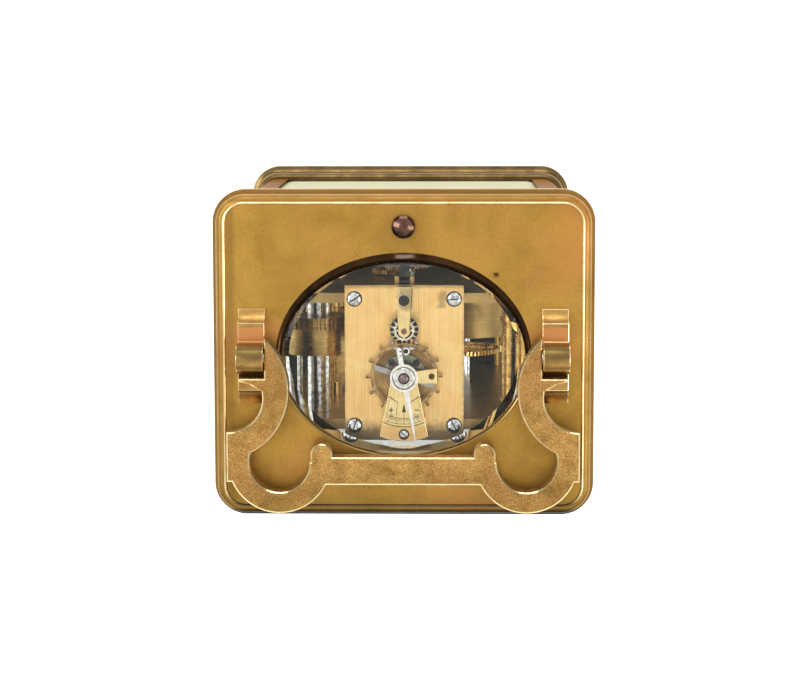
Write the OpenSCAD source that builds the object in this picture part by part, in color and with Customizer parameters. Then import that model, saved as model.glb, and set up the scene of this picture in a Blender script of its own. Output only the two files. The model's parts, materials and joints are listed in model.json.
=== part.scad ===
/* [Case] */
// Width over the base and top mouldings
case_width = 93; // [90:0.5:100]
// Depth over the base and top mouldings
case_depth = 80; // [78:0.5:90]
// Height from the table to the top panel
case_height = 132; // [130:0.5:150]
// Radius of the moulding corners in plan
corner_radius = 8; // [7:0.5:10]
// How far the mouldings stand out past the pillars
moulding_overhang = 3.2; // [2.8:0.1:4]
// Height of the base moulding
base_height = 14; // [12:0.5:16]
// Height of the top moulding
top_height = 14; // [13:0.5:15]
// Width of the shaped border round the flat top panel
panel_border = 2.7; // [2:0.1:3.5]
// Thickness of the top panel
panel_thickness = 2.5; // [2:0.25:3]
// Radius of the half-round bead round the panel
bead_radius = 0.35; // [0.2:0.05:0.5]
// Side of a corner pillar
pillar_side = 8; // [7:0.5:9]
// Corner radius of a pillar's outer edge
pillar_radius = 5; // [3:0.5:6]

/* [Windows] */
// Thickness of the side and front glasses
glass_thickness = 2; // [1.6:0.1:2.4]
// Set-back of a glass from the pillar's outer face
glass_inset = 0.6; // [0.4:0.1:1]
// Depth of a glass groove in a pillar
groove_depth = 2.5; // [2:0.25:3]
// Width of the bevel round a glass
glass_bevel = 4; // [3:0.5:6]
// Depth of the bevel round a glass
bevel_drop = 0.8; // [0.5:0.1:1]
// Clearance of a glass in its groove
glass_clearance = 0.1; // [0.05:0.05:0.2]
// Distance of the oval window from the sides of the top
oval_side = 15.5; // [15:0.25:18]
// Distance of the oval window from the front and rear of the top
oval_front = 15; // [14.5:0.25:17]
// Lip of the oval glass under the panel
oval_lip = 2; // [1.5:0.25:2.5]
// Thickness of that lip
lip_thickness = 1.4; // [1:0.1:1.5]
// Width of the bevel at the ends of the oval glass
oval_bevel = 3.05; // [2:0.05:4]

/* [Door] */
// Thickness of the rear door's frame
door_thickness = 3; // [2.5:0.25:3.5]
// Width of the door frame's stiles and rails
door_rail = 4; // [3.5:0.25:6]
// Gap round the closed door
door_gap = 0.3; // [0.2:0.05:0.5]
// Radius of a door hinge pin
door_pin_radius = 0.8; // [0.6:0.1:1]
// Length of a door hinge pin past the frame
door_pin_length = 3; // [2:0.5:4]
// Diameter of the door knob
knob_diameter = 5; // [4:0.5:6]

/* [Handle] */
// Height of the handle's pivot over the panel
pivot_height = 6; // [6:0.25:7]
// Thickness of the flat handle
handle_thickness = 5; // [4:0.25:5]
// Radius of the handle's outer arm curve
arm_outer_radius = 16.8; // [16.5:0.1:17]
// Radius of the handle's inner arm curve
arm_inner_radius = 8.4; // [8.2:0.1:8.6]
// Outer radius of the scroll at each end of the grip
scroll_outer_radius = 12.4; // [12.2:0.1:12.6]
// Inner radius of that scroll
scroll_inner_radius = 7.3; // [7.1:0.1:7.5]
// Width of the straight grip
grip_width = 6.7; // [6:0.1:7]
// Radius of the lobe at each end of the grip
lobe_radius = 2.6; // [2.4:0.1:2.8]
// Distance of the handle arm's outer face from the side of the case
arm_inset = 13.3; // [13.1:0.1:13.5]
// Width of a handle bracket
bracket_width = 6.4; // [6:0.1:7]
// Length of a handle bracket
bracket_length = 23; // [22:0.5:26]
// Radius of a bracket's barrel
barrel_radius = 3.65; // [3.4:0.05:3.8]
// Height of a bracket's flat shoulder
shoulder_height = 3; // [2:0.1:3]
// Radius of a handle pivot screw
pivot_radius = 1.6; // [1.4:0.1:1.8]
// Running clearance of the moving pieces in their holes
running_clearance = 0.05; // [0.03:0.01:0.08]

/* [Repeat button] */
// Diameter of the repeat button
button_diameter = 5.6; // [5:0.1:6]
// Distance of the button from the front edge of the top
button_inset = 8.7; // [8.4:0.1:9]
// How far the button goes down
button_travel = 2; // [1.5:0.1:2]
// Height of the button's domed head over the panel
button_height = 2.6; // [2.4:0.1:3]
// Radius of the button's stem
stem_radius = 1.1; // [0.9:0.1:1.1]

/* [Dial] */
// Diameter of the dial seen through the mask
dial_diameter = 50; // [46:1:52]
// Distance of the dial's face from the middle of the clock
dial_y = 20.5; // [20:0.25:21]
// Width of the mask round the dial
mask_width = 66; // [60:1:67]
// Height of the mask round the dial
mask_height = 96; // [88:1:98]
// Height of the dial's centre
dial_z = 74; // [73:0.25:75]

/* [Movement] */
// Width of the movement plates
plate_width = 60; // [60:0.5:63]
// Thickness of the movement plates
plate_thickness = 2.4; // [2:0.1:3]
// Outer face of the front plate, ahead of the middle
front_plate_y = 13.8; // [13.8:0.1:14]
// Space between the plates
plate_gap = 29.1; // [29:0.1:30]
// Radius of a movement pillar
movement_pillar_radius = 2.2; // [2:0.1:2.5]
// Distance of the barrel arbors from the middle
barrel_x = 15.2; // [15.1:0.05:15.3]
// Height of the barrel arbors
barrel_z = 48.7; // [48:0.1:49]
// Radius of a barrel drum
drum_radius = 13.2; // [12.5:0.1:13.3]
// Length of a barrel drum
drum_length = 13; // [12:0.25:13.5]
// Wall of a barrel drum
drum_wall = 0.9; // [0.7:0.1:1.2]
// Radius of the gong's outer turn
gong_radius = 24; // [23:0.25:25]
// Turns of the gong
gong_turns = 3; // [2:1:3]
// Thickness of the gong's rod
gong_rod = 1.2; // [1:0.1:1.3]

/* [Platform] */
// Width of the platform plate
platform_width = 29.4; // [28:0.2:31]
// Length of the platform plate, front to rear
platform_length = 38.6; // [38:0.2:40]
// Thickness of the platform plate
platform_thickness = 2.5; // [2:0.1:3]
// Depth of the platform's top under the case's panel
platform_depth = 12.5; // [12.5:0.25:13.5]
// Distance of the platform's middle behind the middle of the clock
platform_y = 3.3; // [3.2:0.1:3.4]
// Distance of the balance behind the middle of the clock
balance_y = 6.3; // [6.2:0.05:6.4]
// Radius of the balance rim
balance_radius = 8.3; // [8:0.1:8.3]
// Distance from the balance to the escape wheel
escape_distance = 11.2; // [11.2:0.05:11.3]
// Radius of the escape wheel
escape_radius = 3.5; // [3.4:0.05:3.6]
// Angle of the regulator's pointer from the middle line
regulator_angle = 10; // [-15:1:15]

/* [Hidden] */
$fn = 64;
tiny = 0.01;

// Colours
brass = [0.80, 0.64, 0.34];
bright_brass = [0.90, 0.78, 0.48];
matte_brass = [0.86, 0.66, 0.42];
steel = [0.72, 0.73, 0.75];
blued = [0.16, 0.20, 0.42];
clear_glass = [0.80, 0.90, 0.88, 0.35];
enamel = [0.96, 0.95, 0.91];
ruby = [0.72, 0.10, 0.16];

// Case levels and outlines
body_width = case_width - 2*moulding_overhang;
body_depth = case_depth - 2*moulding_overhang;
frame_bottom = case_height - top_height;
post_height = frame_bottom - base_height;
pillar_x = body_width/2 - pillar_side;
pillar_y = body_depth/2 - pillar_side;
cavity_border = 9.5;
cavity_width = case_width - 2*cavity_border;
cavity_depth = case_depth - 2*cavity_border;
cavity_radius = 4;
fascia_low = 5.5;
fascia_high = 9;
fascia_step = 1;
neck_inset = 3.5;
panel_underside = case_height - panel_thickness;
oval_length = case_width - 2*oval_side;
oval_width = case_depth - 2*oval_front;
pane_length = oval_length - 0.3;
pane_width = oval_width - 0.3;
pane_reach = groove_depth - 0.1;
button_well = 8;
button_stop = 0.6;
button_y = case_depth/2 - button_inset;
stem_bottom = frame_bottom - 3;
spring_top = case_height - button_travel - button_stop;
spring_bottom = case_height - button_well;
spring_wire = 0.3;
spring_turns = 5;

// Handle and brackets
pivot_z = case_height + pivot_height;
arm_face_x = case_width/2 - arm_inset;
scroll_x = arm_face_x - 3.5;
scroll_y = 24.8;
arm_circle_x = arm_face_x + 11.05;
arm_circle_y = 7.6;
arm_inner_x = arm_face_x + 8.9;
arm_inner_y = 9.2;
arm_root_x = arm_face_x - 13.2;
arm_side_x = arm_face_x + 3.5;
arm_edge_x = scroll_x + scroll_outer_radius + 0.3;
arm_step_y = scroll_y + 4.8;
arm_end_radius = pivot_height - 0.4;
grip_y = 26.95;
grip_half = scroll_x - 10.2;
lobe_x = scroll_x - 10.1;
lobe_y = 22.9;
spur_tip_x = arm_face_x + 6.1;
spur_y = barrel_radius + 0.95;
bracket_x = arm_face_x + 0.3;
bracket_end = bracket_length/2;
shoulder_y = bracket_end - 5.3;
bracket_lip = 0.8;
pivot_head_radius = 2.4;
pivot_head_length = 1.4;
bracket_screw_y = 8.2;
bracket_peg_radius = 0.9;
bracket_peg_depth = 3.5;

// Movement planes, front to rear
front_inner = -front_plate_y + plate_thickness;
rear_inner = front_inner + plate_gap;
rear_outer = rear_inner + plate_thickness;
platform_top = case_height - platform_depth;
plate_top = platform_top - platform_thickness;
plate_height = plate_top - base_height;
great_plane = front_inner + 0.8;
great_thickness = 1.8;
drum_plane = great_plane + great_thickness;
drum_end = drum_plane + drum_length;
second_plane = drum_end + 1.8;
centre_plane = front_inner + 3.2;
pin_plane = front_inner + 5.9;
third_plane = front_inner + 13.4;
alarm_plane = front_inner + 4.5;
alarm_wheel_thickness = 3;
alarm_end = alarm_plane + 9.5;
wheel_thickness = 1.1;
pinion_margin = 0.5;
pivot_pin = 0.45;
arbor_radius = 0.7;

// Tooth form, as shares of the pitch and of the module
wheel_share = 0.42;
pinion_share = 0.34;
wheel_addendum = 0.9;
wheel_dedendum = 1.1;
pinion_addendum = 0.6;
pinion_dedendum = 1.3;

// Going train: teeth and modules
great_teeth = 80;
great_module = 0.36;
great_pinion = 12;
second_teeth = 72;
second_module = 0.36;
second_pinion = 12;
centre_teeth = 80;
centre_module = 0.32;
centre_pinion_leaves = 8;
third_teeth = 75;
third_module = 0.3;
third_pinion_leaves = 10;
crown_teeth = 64;
crown_module = 0.26;
escape_pinion_leaves = 8;
strike_module = 0.32;
strike_pinion = 10;
alarm_teeth = 48;
alarm_module = 0.37;
alarm_drum_radius = 8.2;
alarm_arbor_radius = 2.75;
pin_teeth = 60;
pin_module = 0.28;
pin_pinion = 8;
motion_module = 0.3;
cannon_teeth = 12;
minute_teeth = 36;
minute_pinion_teeth = 10;
hour_teeth = 40;

// Centre distances of the meshing pairs
function mesh(a, b, m) = (a + b)*m/2;
great_mesh = mesh(great_teeth, great_pinion, great_module);
second_mesh = mesh(second_teeth, second_pinion, second_module);
centre_mesh = mesh(centre_teeth, centre_pinion_leaves, centre_module);
third_mesh = mesh(third_teeth, third_pinion_leaves, third_module);
strike_mesh = mesh(second_teeth, strike_pinion, strike_module);
pin_mesh = mesh(pin_teeth, pin_pinion, pin_module);
motion_mesh = mesh(cannon_teeth, minute_teeth, motion_module);
hour_module = 2*motion_mesh/(hour_teeth + minute_pinion_teeth);

// Angle at the first corner of a triangle with near side a, base c and far side b
function corner_angle(a, c, b) = acos((a*a + c*c - b*b)/(2*a*c));
function angle_to(p, q) = atan2(q[1] - p[1], q[0] - p[0]);
function distance(p, q) = norm(q - p);
function reach(p, d, a) = [p[0] + d*cos(a), p[1] + d*sin(a)];

// Arbor places seen from the front, as [x, z]
centre_at = [0, dial_z];
going_at = [-barrel_x, barrel_z];
strike_at = [barrel_x, barrel_z];
going_base = distance(going_at, centre_at);
second_at = reach(going_at, great_mesh, angle_to(going_at, centre_at)
  + corner_angle(great_mesh, going_base, second_mesh));
contrate_at = [0, dial_z + 26.5];
third_at = reach(centre_at, centre_mesh, 90
  + corner_angle(centre_mesh, distance(centre_at, contrate_at), third_mesh));
strike_second_at = reach(strike_at, great_mesh, 80);
pin_at = reach(strike_second_at, strike_mesh, 90);
fly_at = reach(pin_at, pin_mesh, 80);
minute_direction = -60;
minute_at = reach(centre_at, motion_mesh, minute_direction);
hammer_at = [28, 84];
alarm_at = [22, 104];
fly_plane = front_inner + 14;

// Winding work, clicks, hammer and gong
winding_radius = 1.9;
winding_square = 2.4;
square_reach = 8.5;
hub_step = 1.4;
ratchet_plane = rear_outer + 0.6;
ratchet_thickness = 1.2;
ratchet_teeth = 24;
ratchet_radius = 6;
click_distance = 8.6;
click_angle = 50;
click_stud_radius = 0.8;
mainspring_strip = 0.35;
mainspring_pitch = 0.9;
gong_at = [0, barrel_z - 3];
gong_plane = rear_outer + 3.4;
gong_gap = 0.8;
gong_pitch = gong_rod + gong_gap;
gong_inner = gong_radius - gong_rod/2 - gong_turns*gong_pitch;
gong_outer = gong_radius + gong_rod/2;
block_side = 3.2;
hammer_head_radius = 1.8;
hammer_gap = 0.8;
hammer_plane = rear_outer + 1;
hammer_arm_thickness = 1.4;
hammer_arm_width = 1.2;
hammer_stand_off = gong_outer + hammer_head_radius + hammer_gap;
hammer_reach = sqrt(pow(distance(hammer_at, gong_at), 2) - pow(hammer_stand_off, 2));
hammer_angle = angle_to(hammer_at, gong_at) + asin(hammer_stand_off/distance(hammer_at, gong_at));
pin_circle = pin_teeth*pin_module/2 - 1;
pin_radius = 0.35;
tail_length = distance(hammer_at, pin_at) - pin_circle - pin_radius - 0.3;

// Escapement
staff_radius = 0.35;
escape_y = balance_y - escape_distance;
escape_phase = 10;
potence_z = contrate_at[1] + 3.5;
crown_radius = crown_teeth*crown_module/2;
crown_face = escape_y + escape_pinion_leaves*crown_module/2;
crown_width = 1;
lever_y = escape_y + 4.75;
impulse_radius = 1.1;
roller_y = balance_y - impulse_radius;
roller_radius = 1.6;
escape_z = platform_top + 0.8;
lever_top = escape_z + 0.55;
roller_z = escape_z + 0.75;
balance_z = platform_top + 2.1;
balance_rim = 0.9;
balance_rim_width = 0.8;
balance_rest = -17;
timing_screws = 14;
timing_phase = 18;
escape_cock_top = platform_top + 3.4;
escape_cock_thickness = 1;
cock_foot_y = escape_y - 11;
escape_screw_y = escape_y - 7.6;
pallet_foot_x = 2.85;
pallet_foot_y = balance_y - 3.5;
pallet_cock_radius = 5.4;
pallet_cock_back = balance_y - 1.8;
pallet_cock_z = balance_z - 0.15;
pallet_cock_thickness = 0.45;
collet_radius = 0.9;
hairspring_z = balance_z + balance_rim + 0.25;
hairspring_height = 0.3;
hairspring_strip = 0.09;
hairspring_pitch = 0.5;
hairspring_half_turns = 14;
hairspring_end = collet_radius + hairspring_half_turns*hairspring_pitch/2 + hairspring_strip;
cock_z = platform_top + 5;
cock_thickness = 1.2;
cock_tier = 0.5;
cock_reach = 15.8;
cock_foot = 11.6;
cock_tier_reach = 12.2;
cock_half = 3;
cock_flare = 0.2;
balance_screw_y = balance_y + 14.1;
cock_screws = [[0, escape_screw_y], [0, balance_screw_y]];
cock_screw_shank = 0.7;
regulator_radius = 3.4;
regulator_thickness = 0.5;
regulator_step = 8;
end_cap_radius = 2.8;
end_cap_height = regulator_thickness + 0.6;
pointer_reach = 15.5;
tail_reach = 7.6;
tail_width = 1.2;

// Dial side
dial_thickness = 1.6;
mask_thickness = 1.2;
mask_z = base_height + 3;
lever_notch = 4;
lever_notch_depth = 2.6;
hour_plane = -dial_y - 2.4;
minute_plane = hour_plane - 1.3;
hand_thickness = 0.5;
rest_hour = 10;
rest_minute = 10;
hour_angle = 90 - 30*(rest_hour + rest_minute/60);
minute_angle = 90 - 6*rest_minute;
cannon_radius = 1.1;
hour_pipe_radius = 1.7;
cannon_plane = -front_plate_y - 1.6;
hour_wheel_plane = -front_plate_y - 3.6;

// Door
door_width = 2*pillar_x - 2*door_gap;
door_height = post_height - 2*door_gap;
door_back = body_depth/2 - 0.2;
door_axis_y = door_back - door_thickness/2;
door_axis_x = door_width/2 - door_thickness/2;
door_glass_lap = 0.8;
door_glass_width = door_width - 2*door_rail + 2*door_glass_lap;
door_glass_height = door_height - 2*door_rail + 2*door_glass_lap;
door_glass_z = base_height + post_height/2 - door_glass_height/2;
knob_x = -door_width/2 + door_rail/2;
knob_stem_radius = 1;
lever_axis = [-front_plate_y - 2.6, stem_bottom - 1.2];

// Fasteners
base_screw_radius = 1.5;
base_screw_head = 2.8;
base_head_depth = 2;
pillar_screw_at = pillar_side/2 - 0.4;
pillar_screw_depth = 6;
movement_post_z = base_height + movement_pillar_radius;
movement_screw_radius = 1.1;
post_collar = 0.5;
upper_post_z = plate_top - movement_pillar_radius - post_collar - 2.6;
post_x = plate_width/2 - 3.5;
upper_posts = [[-post_x, upper_post_z], [alarm_at[0] - 10.4, upper_post_z]];
platform_screw_x = 12.3;
platform_screw_head = 2;
platform_screw_shank = 0.8;

// A rectangle with round corners, centred
module rounded_rect(w, d, r) {
  square([w - 2*r, d], center = true);
  square([w, d - 2*r], center = true);
  for (sx = [-1, 1], sy = [-1, 1])
    translate([sx*(w/2 - r), sy*(d/2 - r)])
      circle(r);
}

// A round-cornered block whose edge follows a profile: x from the corner's centre, y up
module moulded_block(w, d, r, h) {
  translate([r - w/2, r - d/2, 0])
    cube([w - 2*r, d - 2*r, h]);
  for (s = [0, 1]) {
    mirror([0, s, 0])
      translate([r - w/2, d/2 - r, 0])
        rotate([90, 0, 90])
          linear_extrude(w - 2*r)
            children();
    mirror([s, 0, 0])
      translate([w/2 - r, d/2 - r, 0])
        rotate([90, 0, 0])
          linear_extrude(d - 2*r)
            children();
  }
  for (sx = [0, 1], sy = [0, 1])
    mirror([sx, 0, 0])
      mirror([0, sy, 0])
        translate([w/2 - r, d/2 - r, 0])
          rotate_extrude(angle = 90)
            children();
}

// Something drawn in the plane of x and z, filling y0 to y1
module across(p, y0, y1) {
  translate([p[0], y1, p[1]])
    rotate([90, 0, 0])
      linear_extrude(y1 - y0)
        children();
}

// A rod along y
module rod_y(p, y0, y1, r) {
  across(p, y0, y1)
    circle(r);
}

// Outline of a gear with flat-topped tapered teeth, one tooth at the phase angle
module gear_2d(teeth, m, share, addendum, dedendum, phase) {
  pitch_radius = teeth*m/2;
  half = share*180/teeth;
  steps = [[-1.2, -dedendum], [-1, 0], [-0.5, addendum], [0.5, addendum], [1, 0], [1.2, -dedendum]];
  polygon([for (i = [0:teeth - 1], s = steps)
    let(r = pitch_radius + s[1]*m, a = phase + i*360/teeth + s[0]*half)
      [r*cos(a), r*sin(a)]]);
}

module wheel_2d(teeth, m, phase) {
  gear_2d(teeth, m, wheel_share, wheel_addendum, wheel_dedendum, phase);
}

module pinion_2d(teeth, m, phase) {
  gear_2d(teeth, m, pinion_share, pinion_addendum, pinion_dedendum, phase);
}

// A toothed ring with spokes: crossings cut out of a wheel's web
module crossed_wheel_2d(teeth, m, phase, spokes, hub) {
  rim = teeth*m/2 - wheel_dedendum*m - 1.3;
  difference() {
    wheel_2d(teeth, m, phase);
    difference() {
      circle(rim);
      circle(hub);
      for (i = [0:spokes - 1])
        rotate(i*360/spokes)
          translate([0, -0.6])
            square([rim + 1, 1.2]);
    }
  }
}

// A steel arbor between the plates, with a thinner pivot at each end
module arbor_y(p, y0, y1) {
  rod_y(p, y0 - plate_thickness*0.6, y1 + plate_thickness*0.6, pivot_pin);
  rod_y(p, y0 + 0.15, y1 - 0.15, arbor_radius);
}

// Pivot holes, drilled through a plate
module pivot_hole(p, y0, y1, r) {
  rod_y(p, y0 - 1, y1 + 1, r + running_clearance);
}

// Edge profile of the base: plinth, hollow and upper bead
module base_profile() {
  r = corner_radius;
  difference() {
    square([r, base_height]);
    translate([r - neck_inset + 0.9, base_height - 3.1])
      square([4, 4]);
    translate([r + 0.2, base_height - 5.6])
      circle(3.1);
  }
  translate([r - neck_inset + 0.4, base_height - 1.5])
    circle(1.5);
}

// Edge profile of the top: bead, hollow, flat fascia, step and rounded border
module top_profile() {
  r = corner_radius;
  neck = r - neck_inset;
  ledge = r - fascia_step;
  border_round = panel_border - fascia_step;
  square([neck, top_height]);
  translate([neck - 0.2, 1.5])
    circle(1.5);
  difference() {
    translate([0, 2.4])
      square([r, fascia_high - 2.4]);
    translate([r + 0.2, 2.2])
      circle(fascia_low - 2.2);
  }
  translate([0, fascia_low])
    square([r - panel_border, top_height - fascia_low]);
  translate([0, fascia_low])
    square([ledge, top_height - border_round - fascia_low]);
  translate([r - panel_border, top_height - border_round])
    circle(border_round);
  translate([r - panel_border - bead_radius, top_height])
    circle(bead_radius);
}

module base_moulding() color(brass) difference() {
  moulded_block(case_width, case_depth, corner_radius, base_height)
    base_profile();
  case_screw_places()
    base_screw_hole(base_screw_radius);
  movement_screw_places()
    base_screw_hole(movement_screw_radius);
  door_pin_hole();
}

module case_screw_places() {
  for (sx = [-1, 1], sy = [-1, 1])
    translate([sx*(pillar_x + pillar_screw_at), sy*(pillar_y + pillar_screw_at), 0])
      children();
}

module movement_screw_places() {
  for (sx = [-1, 1], y = [front_inner + 5, rear_inner - 5])
    translate([sx*post_x, y, 0])
      children();
}

module base_screw_hole(r) {
  translate([0, 0, -tiny])
    cylinder(h = base_head_depth + tiny, r = base_screw_head + 0.2);
  cylinder(h = base_height + 1, r = r);
}

module base_screws() color(steel) {
  case_screw_places()
    base_screw(base_height + pillar_screw_depth, base_screw_radius);
  movement_screw_places()
    base_screw(base_height + movement_pillar_radius, movement_screw_radius);
}

module base_screw(h, r) {
  difference() {
    union() {
      translate([0, 0, 0.4])
        cylinder(h = base_head_depth - 0.4, r = base_screw_head);
      translate([0, 0, 0.4])
        cylinder(h = h - 0.4, r = r);
    }
    translate([-base_screw_head, -0.3, 0])
      cube([2*base_screw_head, 0.6, 1.1]);
  }
}

// One corner pillar, drawn for the corner at +x and +y
module pillar(front) {
  groove = glass_thickness + 2*glass_clearance;
  outer = pillar_side - glass_inset - glass_thickness - glass_clearance;
  difference() {
    translate([0, 0, base_height])
      linear_extrude(post_height)
        difference() {
          intersection() {
            square(pillar_side);
            union() {
              translate([-1, -1])
                square([pillar_side - pillar_radius + 1, pillar_side + 1]);
              translate([-1, -1])
                square([pillar_side + 1, pillar_side - pillar_radius + 1]);
              translate([pillar_side - pillar_radius, pillar_side - pillar_radius])
                circle(pillar_radius);
            }
          }
          translate([outer, -1])
            square([groove, groove_depth + 1]);
          if (front)
            translate([-1, outer])
              square([groove_depth + 1, groove]);
        }
    translate([pillar_screw_at, pillar_screw_at, base_height - 1])
      cylinder(h = pillar_screw_depth + 1.5, r = base_screw_radius);
  }
}

module place_pillar(left, rear) {
  mirror([left ? 0 : 1, 0, 0])
    mirror([0, rear ? 0 : 1, 0])
      translate([pillar_x, pillar_y, 0])
        pillar(!rear);
}

module pillar_front_left() color(brass) place_pillar(true, false);
module pillar_front_right() color(brass) place_pillar(false, false);
module pillar_rear_left() color(brass) place_pillar(true, true);
module pillar_rear_right() color(brass) place_pillar(false, true);

// A flat pane standing in x and z, bevelled on its outer face toward -y
module pane(w, h) {
  intersection() {
    translate([-w/2, 0, 0])
      cube([w, glass_thickness, h]);
    linear_extrude(h)
      polygon([[-w/2, bevel_drop], [glass_bevel - w/2, 0], [w/2 - glass_bevel, 0],
        [w/2, bevel_drop], [w/2, glass_thickness], [-w/2, glass_thickness]]);
    translate([-w/2, 0, 0])
      rotate([90, 0, 90])
        linear_extrude(w)
          polygon([[bevel_drop, 0], [0, glass_bevel], [0, h - glass_bevel],
            [bevel_drop, h], [glass_thickness, h], [glass_thickness, 0]]);
  }
}

module front_glass() color(clear_glass)
  translate([0, glass_inset - body_depth/2, base_height])
    pane(2*pillar_x + 2*pane_reach, post_height);

module side_glass() {
  translate([body_width/2 - glass_inset, 0, base_height])
    rotate([0, 0, 90])
      pane(2*pillar_y + 2*pane_reach, post_height);
}

module left_glass() color(clear_glass) side_glass();
module right_glass() color(clear_glass) mirror([1, 0, 0]) side_glass();

// An oval prism or frustum
module oval(l, w, h, l_top) {
  scale([1, w/l, 1])
    cylinder(h = h, r1 = l/2, r2 = l_top/2, $fn = 96);
}

module top_frame() color(brass) difference() {
  union() {
    difference() {
      translate([0, 0, frame_bottom])
        moulded_block(case_width, case_depth, corner_radius, top_height)
          top_profile();
      translate([0, 0, frame_bottom - 1])
        linear_extrude(top_height - panel_thickness + 1)
          rounded_rect(cavity_width, cavity_depth, cavity_radius);
    }
    translate([0, -button_y, frame_bottom])
      cylinder(h = top_height - tiny, r = button_diameter/2 + 1.2);
  }
  translate([0, 0, panel_underside - 1])
    oval(oval_length, oval_width, panel_thickness + 3, oval_length);
  translate([0, -button_y, case_height - button_well])
    cylinder(h = button_well + 1, r = button_diameter/2 + running_clearance);
  translate([0, -button_y, frame_bottom - 1])
    cylinder(h = top_height, r = stem_radius + running_clearance);
  for (s = [-1, 1], y = [-bracket_screw_y, bracket_screw_y])
    translate([s*(bracket_x + bracket_width/2), y, case_height - bracket_peg_depth - 0.5])
      cylinder(h = 5, r = bracket_peg_radius);
  door_pin_hole();
}

module top_glass() color(clear_glass) {
  translate([0, 0, panel_underside - lip_thickness])
    oval(oval_length + 2*oval_lip, oval_width + 2*oval_lip, lip_thickness,
      oval_length + 2*oval_lip);
  translate([0, 0, panel_underside - tiny])
    oval(pane_length, pane_width, 0.5, pane_length);
  translate([0, 0, panel_underside + 0.5 - 2*tiny])
    oval(pane_length, pane_width, 1.3, pane_length - 2*oval_bevel);
}

module door_pin_hole() {
  translate([door_axis_x, door_axis_y, base_height - door_pin_length])
    cylinder(h = post_height + 2*door_pin_length, r = door_pin_radius + running_clearance);
}

module door_frame() color(brass) difference() {
  union() {
    translate([-door_width/2, door_back - door_thickness, base_height + door_gap])
      cube([door_width - door_thickness/2, door_thickness, door_height]);
    translate([door_axis_x, door_axis_y, base_height + door_gap])
      cylinder(h = door_height, r = door_thickness/2);
    translate([door_axis_x, door_axis_y, base_height - door_pin_length + 0.3])
      cylinder(h = post_height + 2*door_pin_length - 0.6, r = door_pin_radius);
  }
  translate([door_rail - door_width/2, door_back - door_thickness - 1, base_height + door_gap + door_rail])
    cube([door_width - 2*door_rail, door_thickness + 2, door_height - 2*door_rail]);
  translate([-door_glass_width/2, door_back - door_thickness - 1, door_glass_z])
    cube([door_glass_width, glass_thickness + 1, door_glass_height]);
  translate([knob_x, door_back - door_thickness - 1, dial_z])
    rotate([-90, 0, 0])
      cylinder(h = door_thickness + 2, r = knob_stem_radius);
}

module door_glass() color(clear_glass)
  translate([0, door_back - door_thickness + glass_thickness, door_glass_z])
    rotate([0, 0, 180])
      pane(door_glass_width, door_glass_height);

module door_knob() color(bright_brass)
  translate([knob_x, 0, dial_z])
    rotate([-90, 0, 0]) {
      translate([0, 0, door_back - door_thickness])
        cylinder(h = door_thickness + 0.5, r = knob_stem_radius);
      translate([0, 0, door_back])
        cylinder(h = 1.6, r = knob_diameter/2 - 0.9);
      translate([0, 0, door_back + 1.6])
        cylinder(h = 1.8, r = knob_diameter/2);
    }

// Plan of the handle's left half, laid to the rear
module handle_half_2d() {
  difference() {
    intersection() {
      translate([arm_circle_x, arm_circle_y])
        circle(arm_outer_radius, $fn = 96);
      translate([arm_root_x, -arm_end_radius])
        square([arm_edge_x - arm_root_x, scroll_y + arm_end_radius]);
    }
    translate([arm_inner_x, arm_inner_y])
      circle(arm_inner_radius);
    translate([arm_face_x, -20])
      square([20, 20 + spur_y]);
  }
  difference() {
    union() {
      intersection() {
        translate([scroll_x, scroll_y])
          circle(scroll_outer_radius, $fn = 96);
        translate([scroll_x - 20, lobe_y])
          square([40, 20]);
      }
      translate([scroll_x, scroll_y - 4])
        square([arm_edge_x - scroll_x, arm_step_y - scroll_y + 4]);
    }
    translate([scroll_x, scroll_y])
      circle(scroll_inner_radius);
    translate([0, scroll_y - 12])
      square([arm_side_x, 12]);
  }
  translate([lobe_x, lobe_y])
    circle(lobe_radius);
  translate([lobe_x - lobe_radius, lobe_y])
    square([2*lobe_radius, grip_y - lobe_y]);
  translate([-tiny, grip_y - grip_width/2])
    square([grip_half, grip_width]);
  polygon([[arm_face_x - 1, spur_y], [spur_tip_x, spur_y], [spur_tip_x, spur_y + 0.65],
    [arm_side_x - 0.2, spur_y + 1.5], [arm_face_x + 1.2, spur_y + 2.8], [arm_face_x - 1, spur_y + 3.6]]);
}

module handle() color(matte_brass) difference() {
  translate([0, 0, pivot_z - handle_thickness/2])
    linear_extrude(handle_thickness)
      for (s = [0, 1])
        mirror([s, 0])
          handle_half_2d();
  difference() {
    translate([-60, -20, pivot_z - 10])
      cube([120, 20, 20]);
    translate([-61, 0, pivot_z])
      rotate([0, 90, 0])
        cylinder(h = 122, r = arm_end_radius);
  }
  for (s = [-1, 1])
    translate([s*(arm_face_x - 2), 0, pivot_z])
      rotate([0, 90, 0])
        cylinder(h = 6, r = pivot_radius, center = true);
}

// Side profile of a bracket: y and height over the panel
module bracket_2d() {
  difference() {
    translate([-bracket_end, 0])
      square([bracket_length, shoulder_height]);
    for (s = [-1, 1])
      translate([s*(bracket_end + 0.9), bracket_lip + 5.2])
        circle(5.2);
  }
  translate([-barrel_radius, 0])
    square([2*barrel_radius, pivot_height]);
  translate([0, pivot_height])
    circle(barrel_radius);
}

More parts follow.
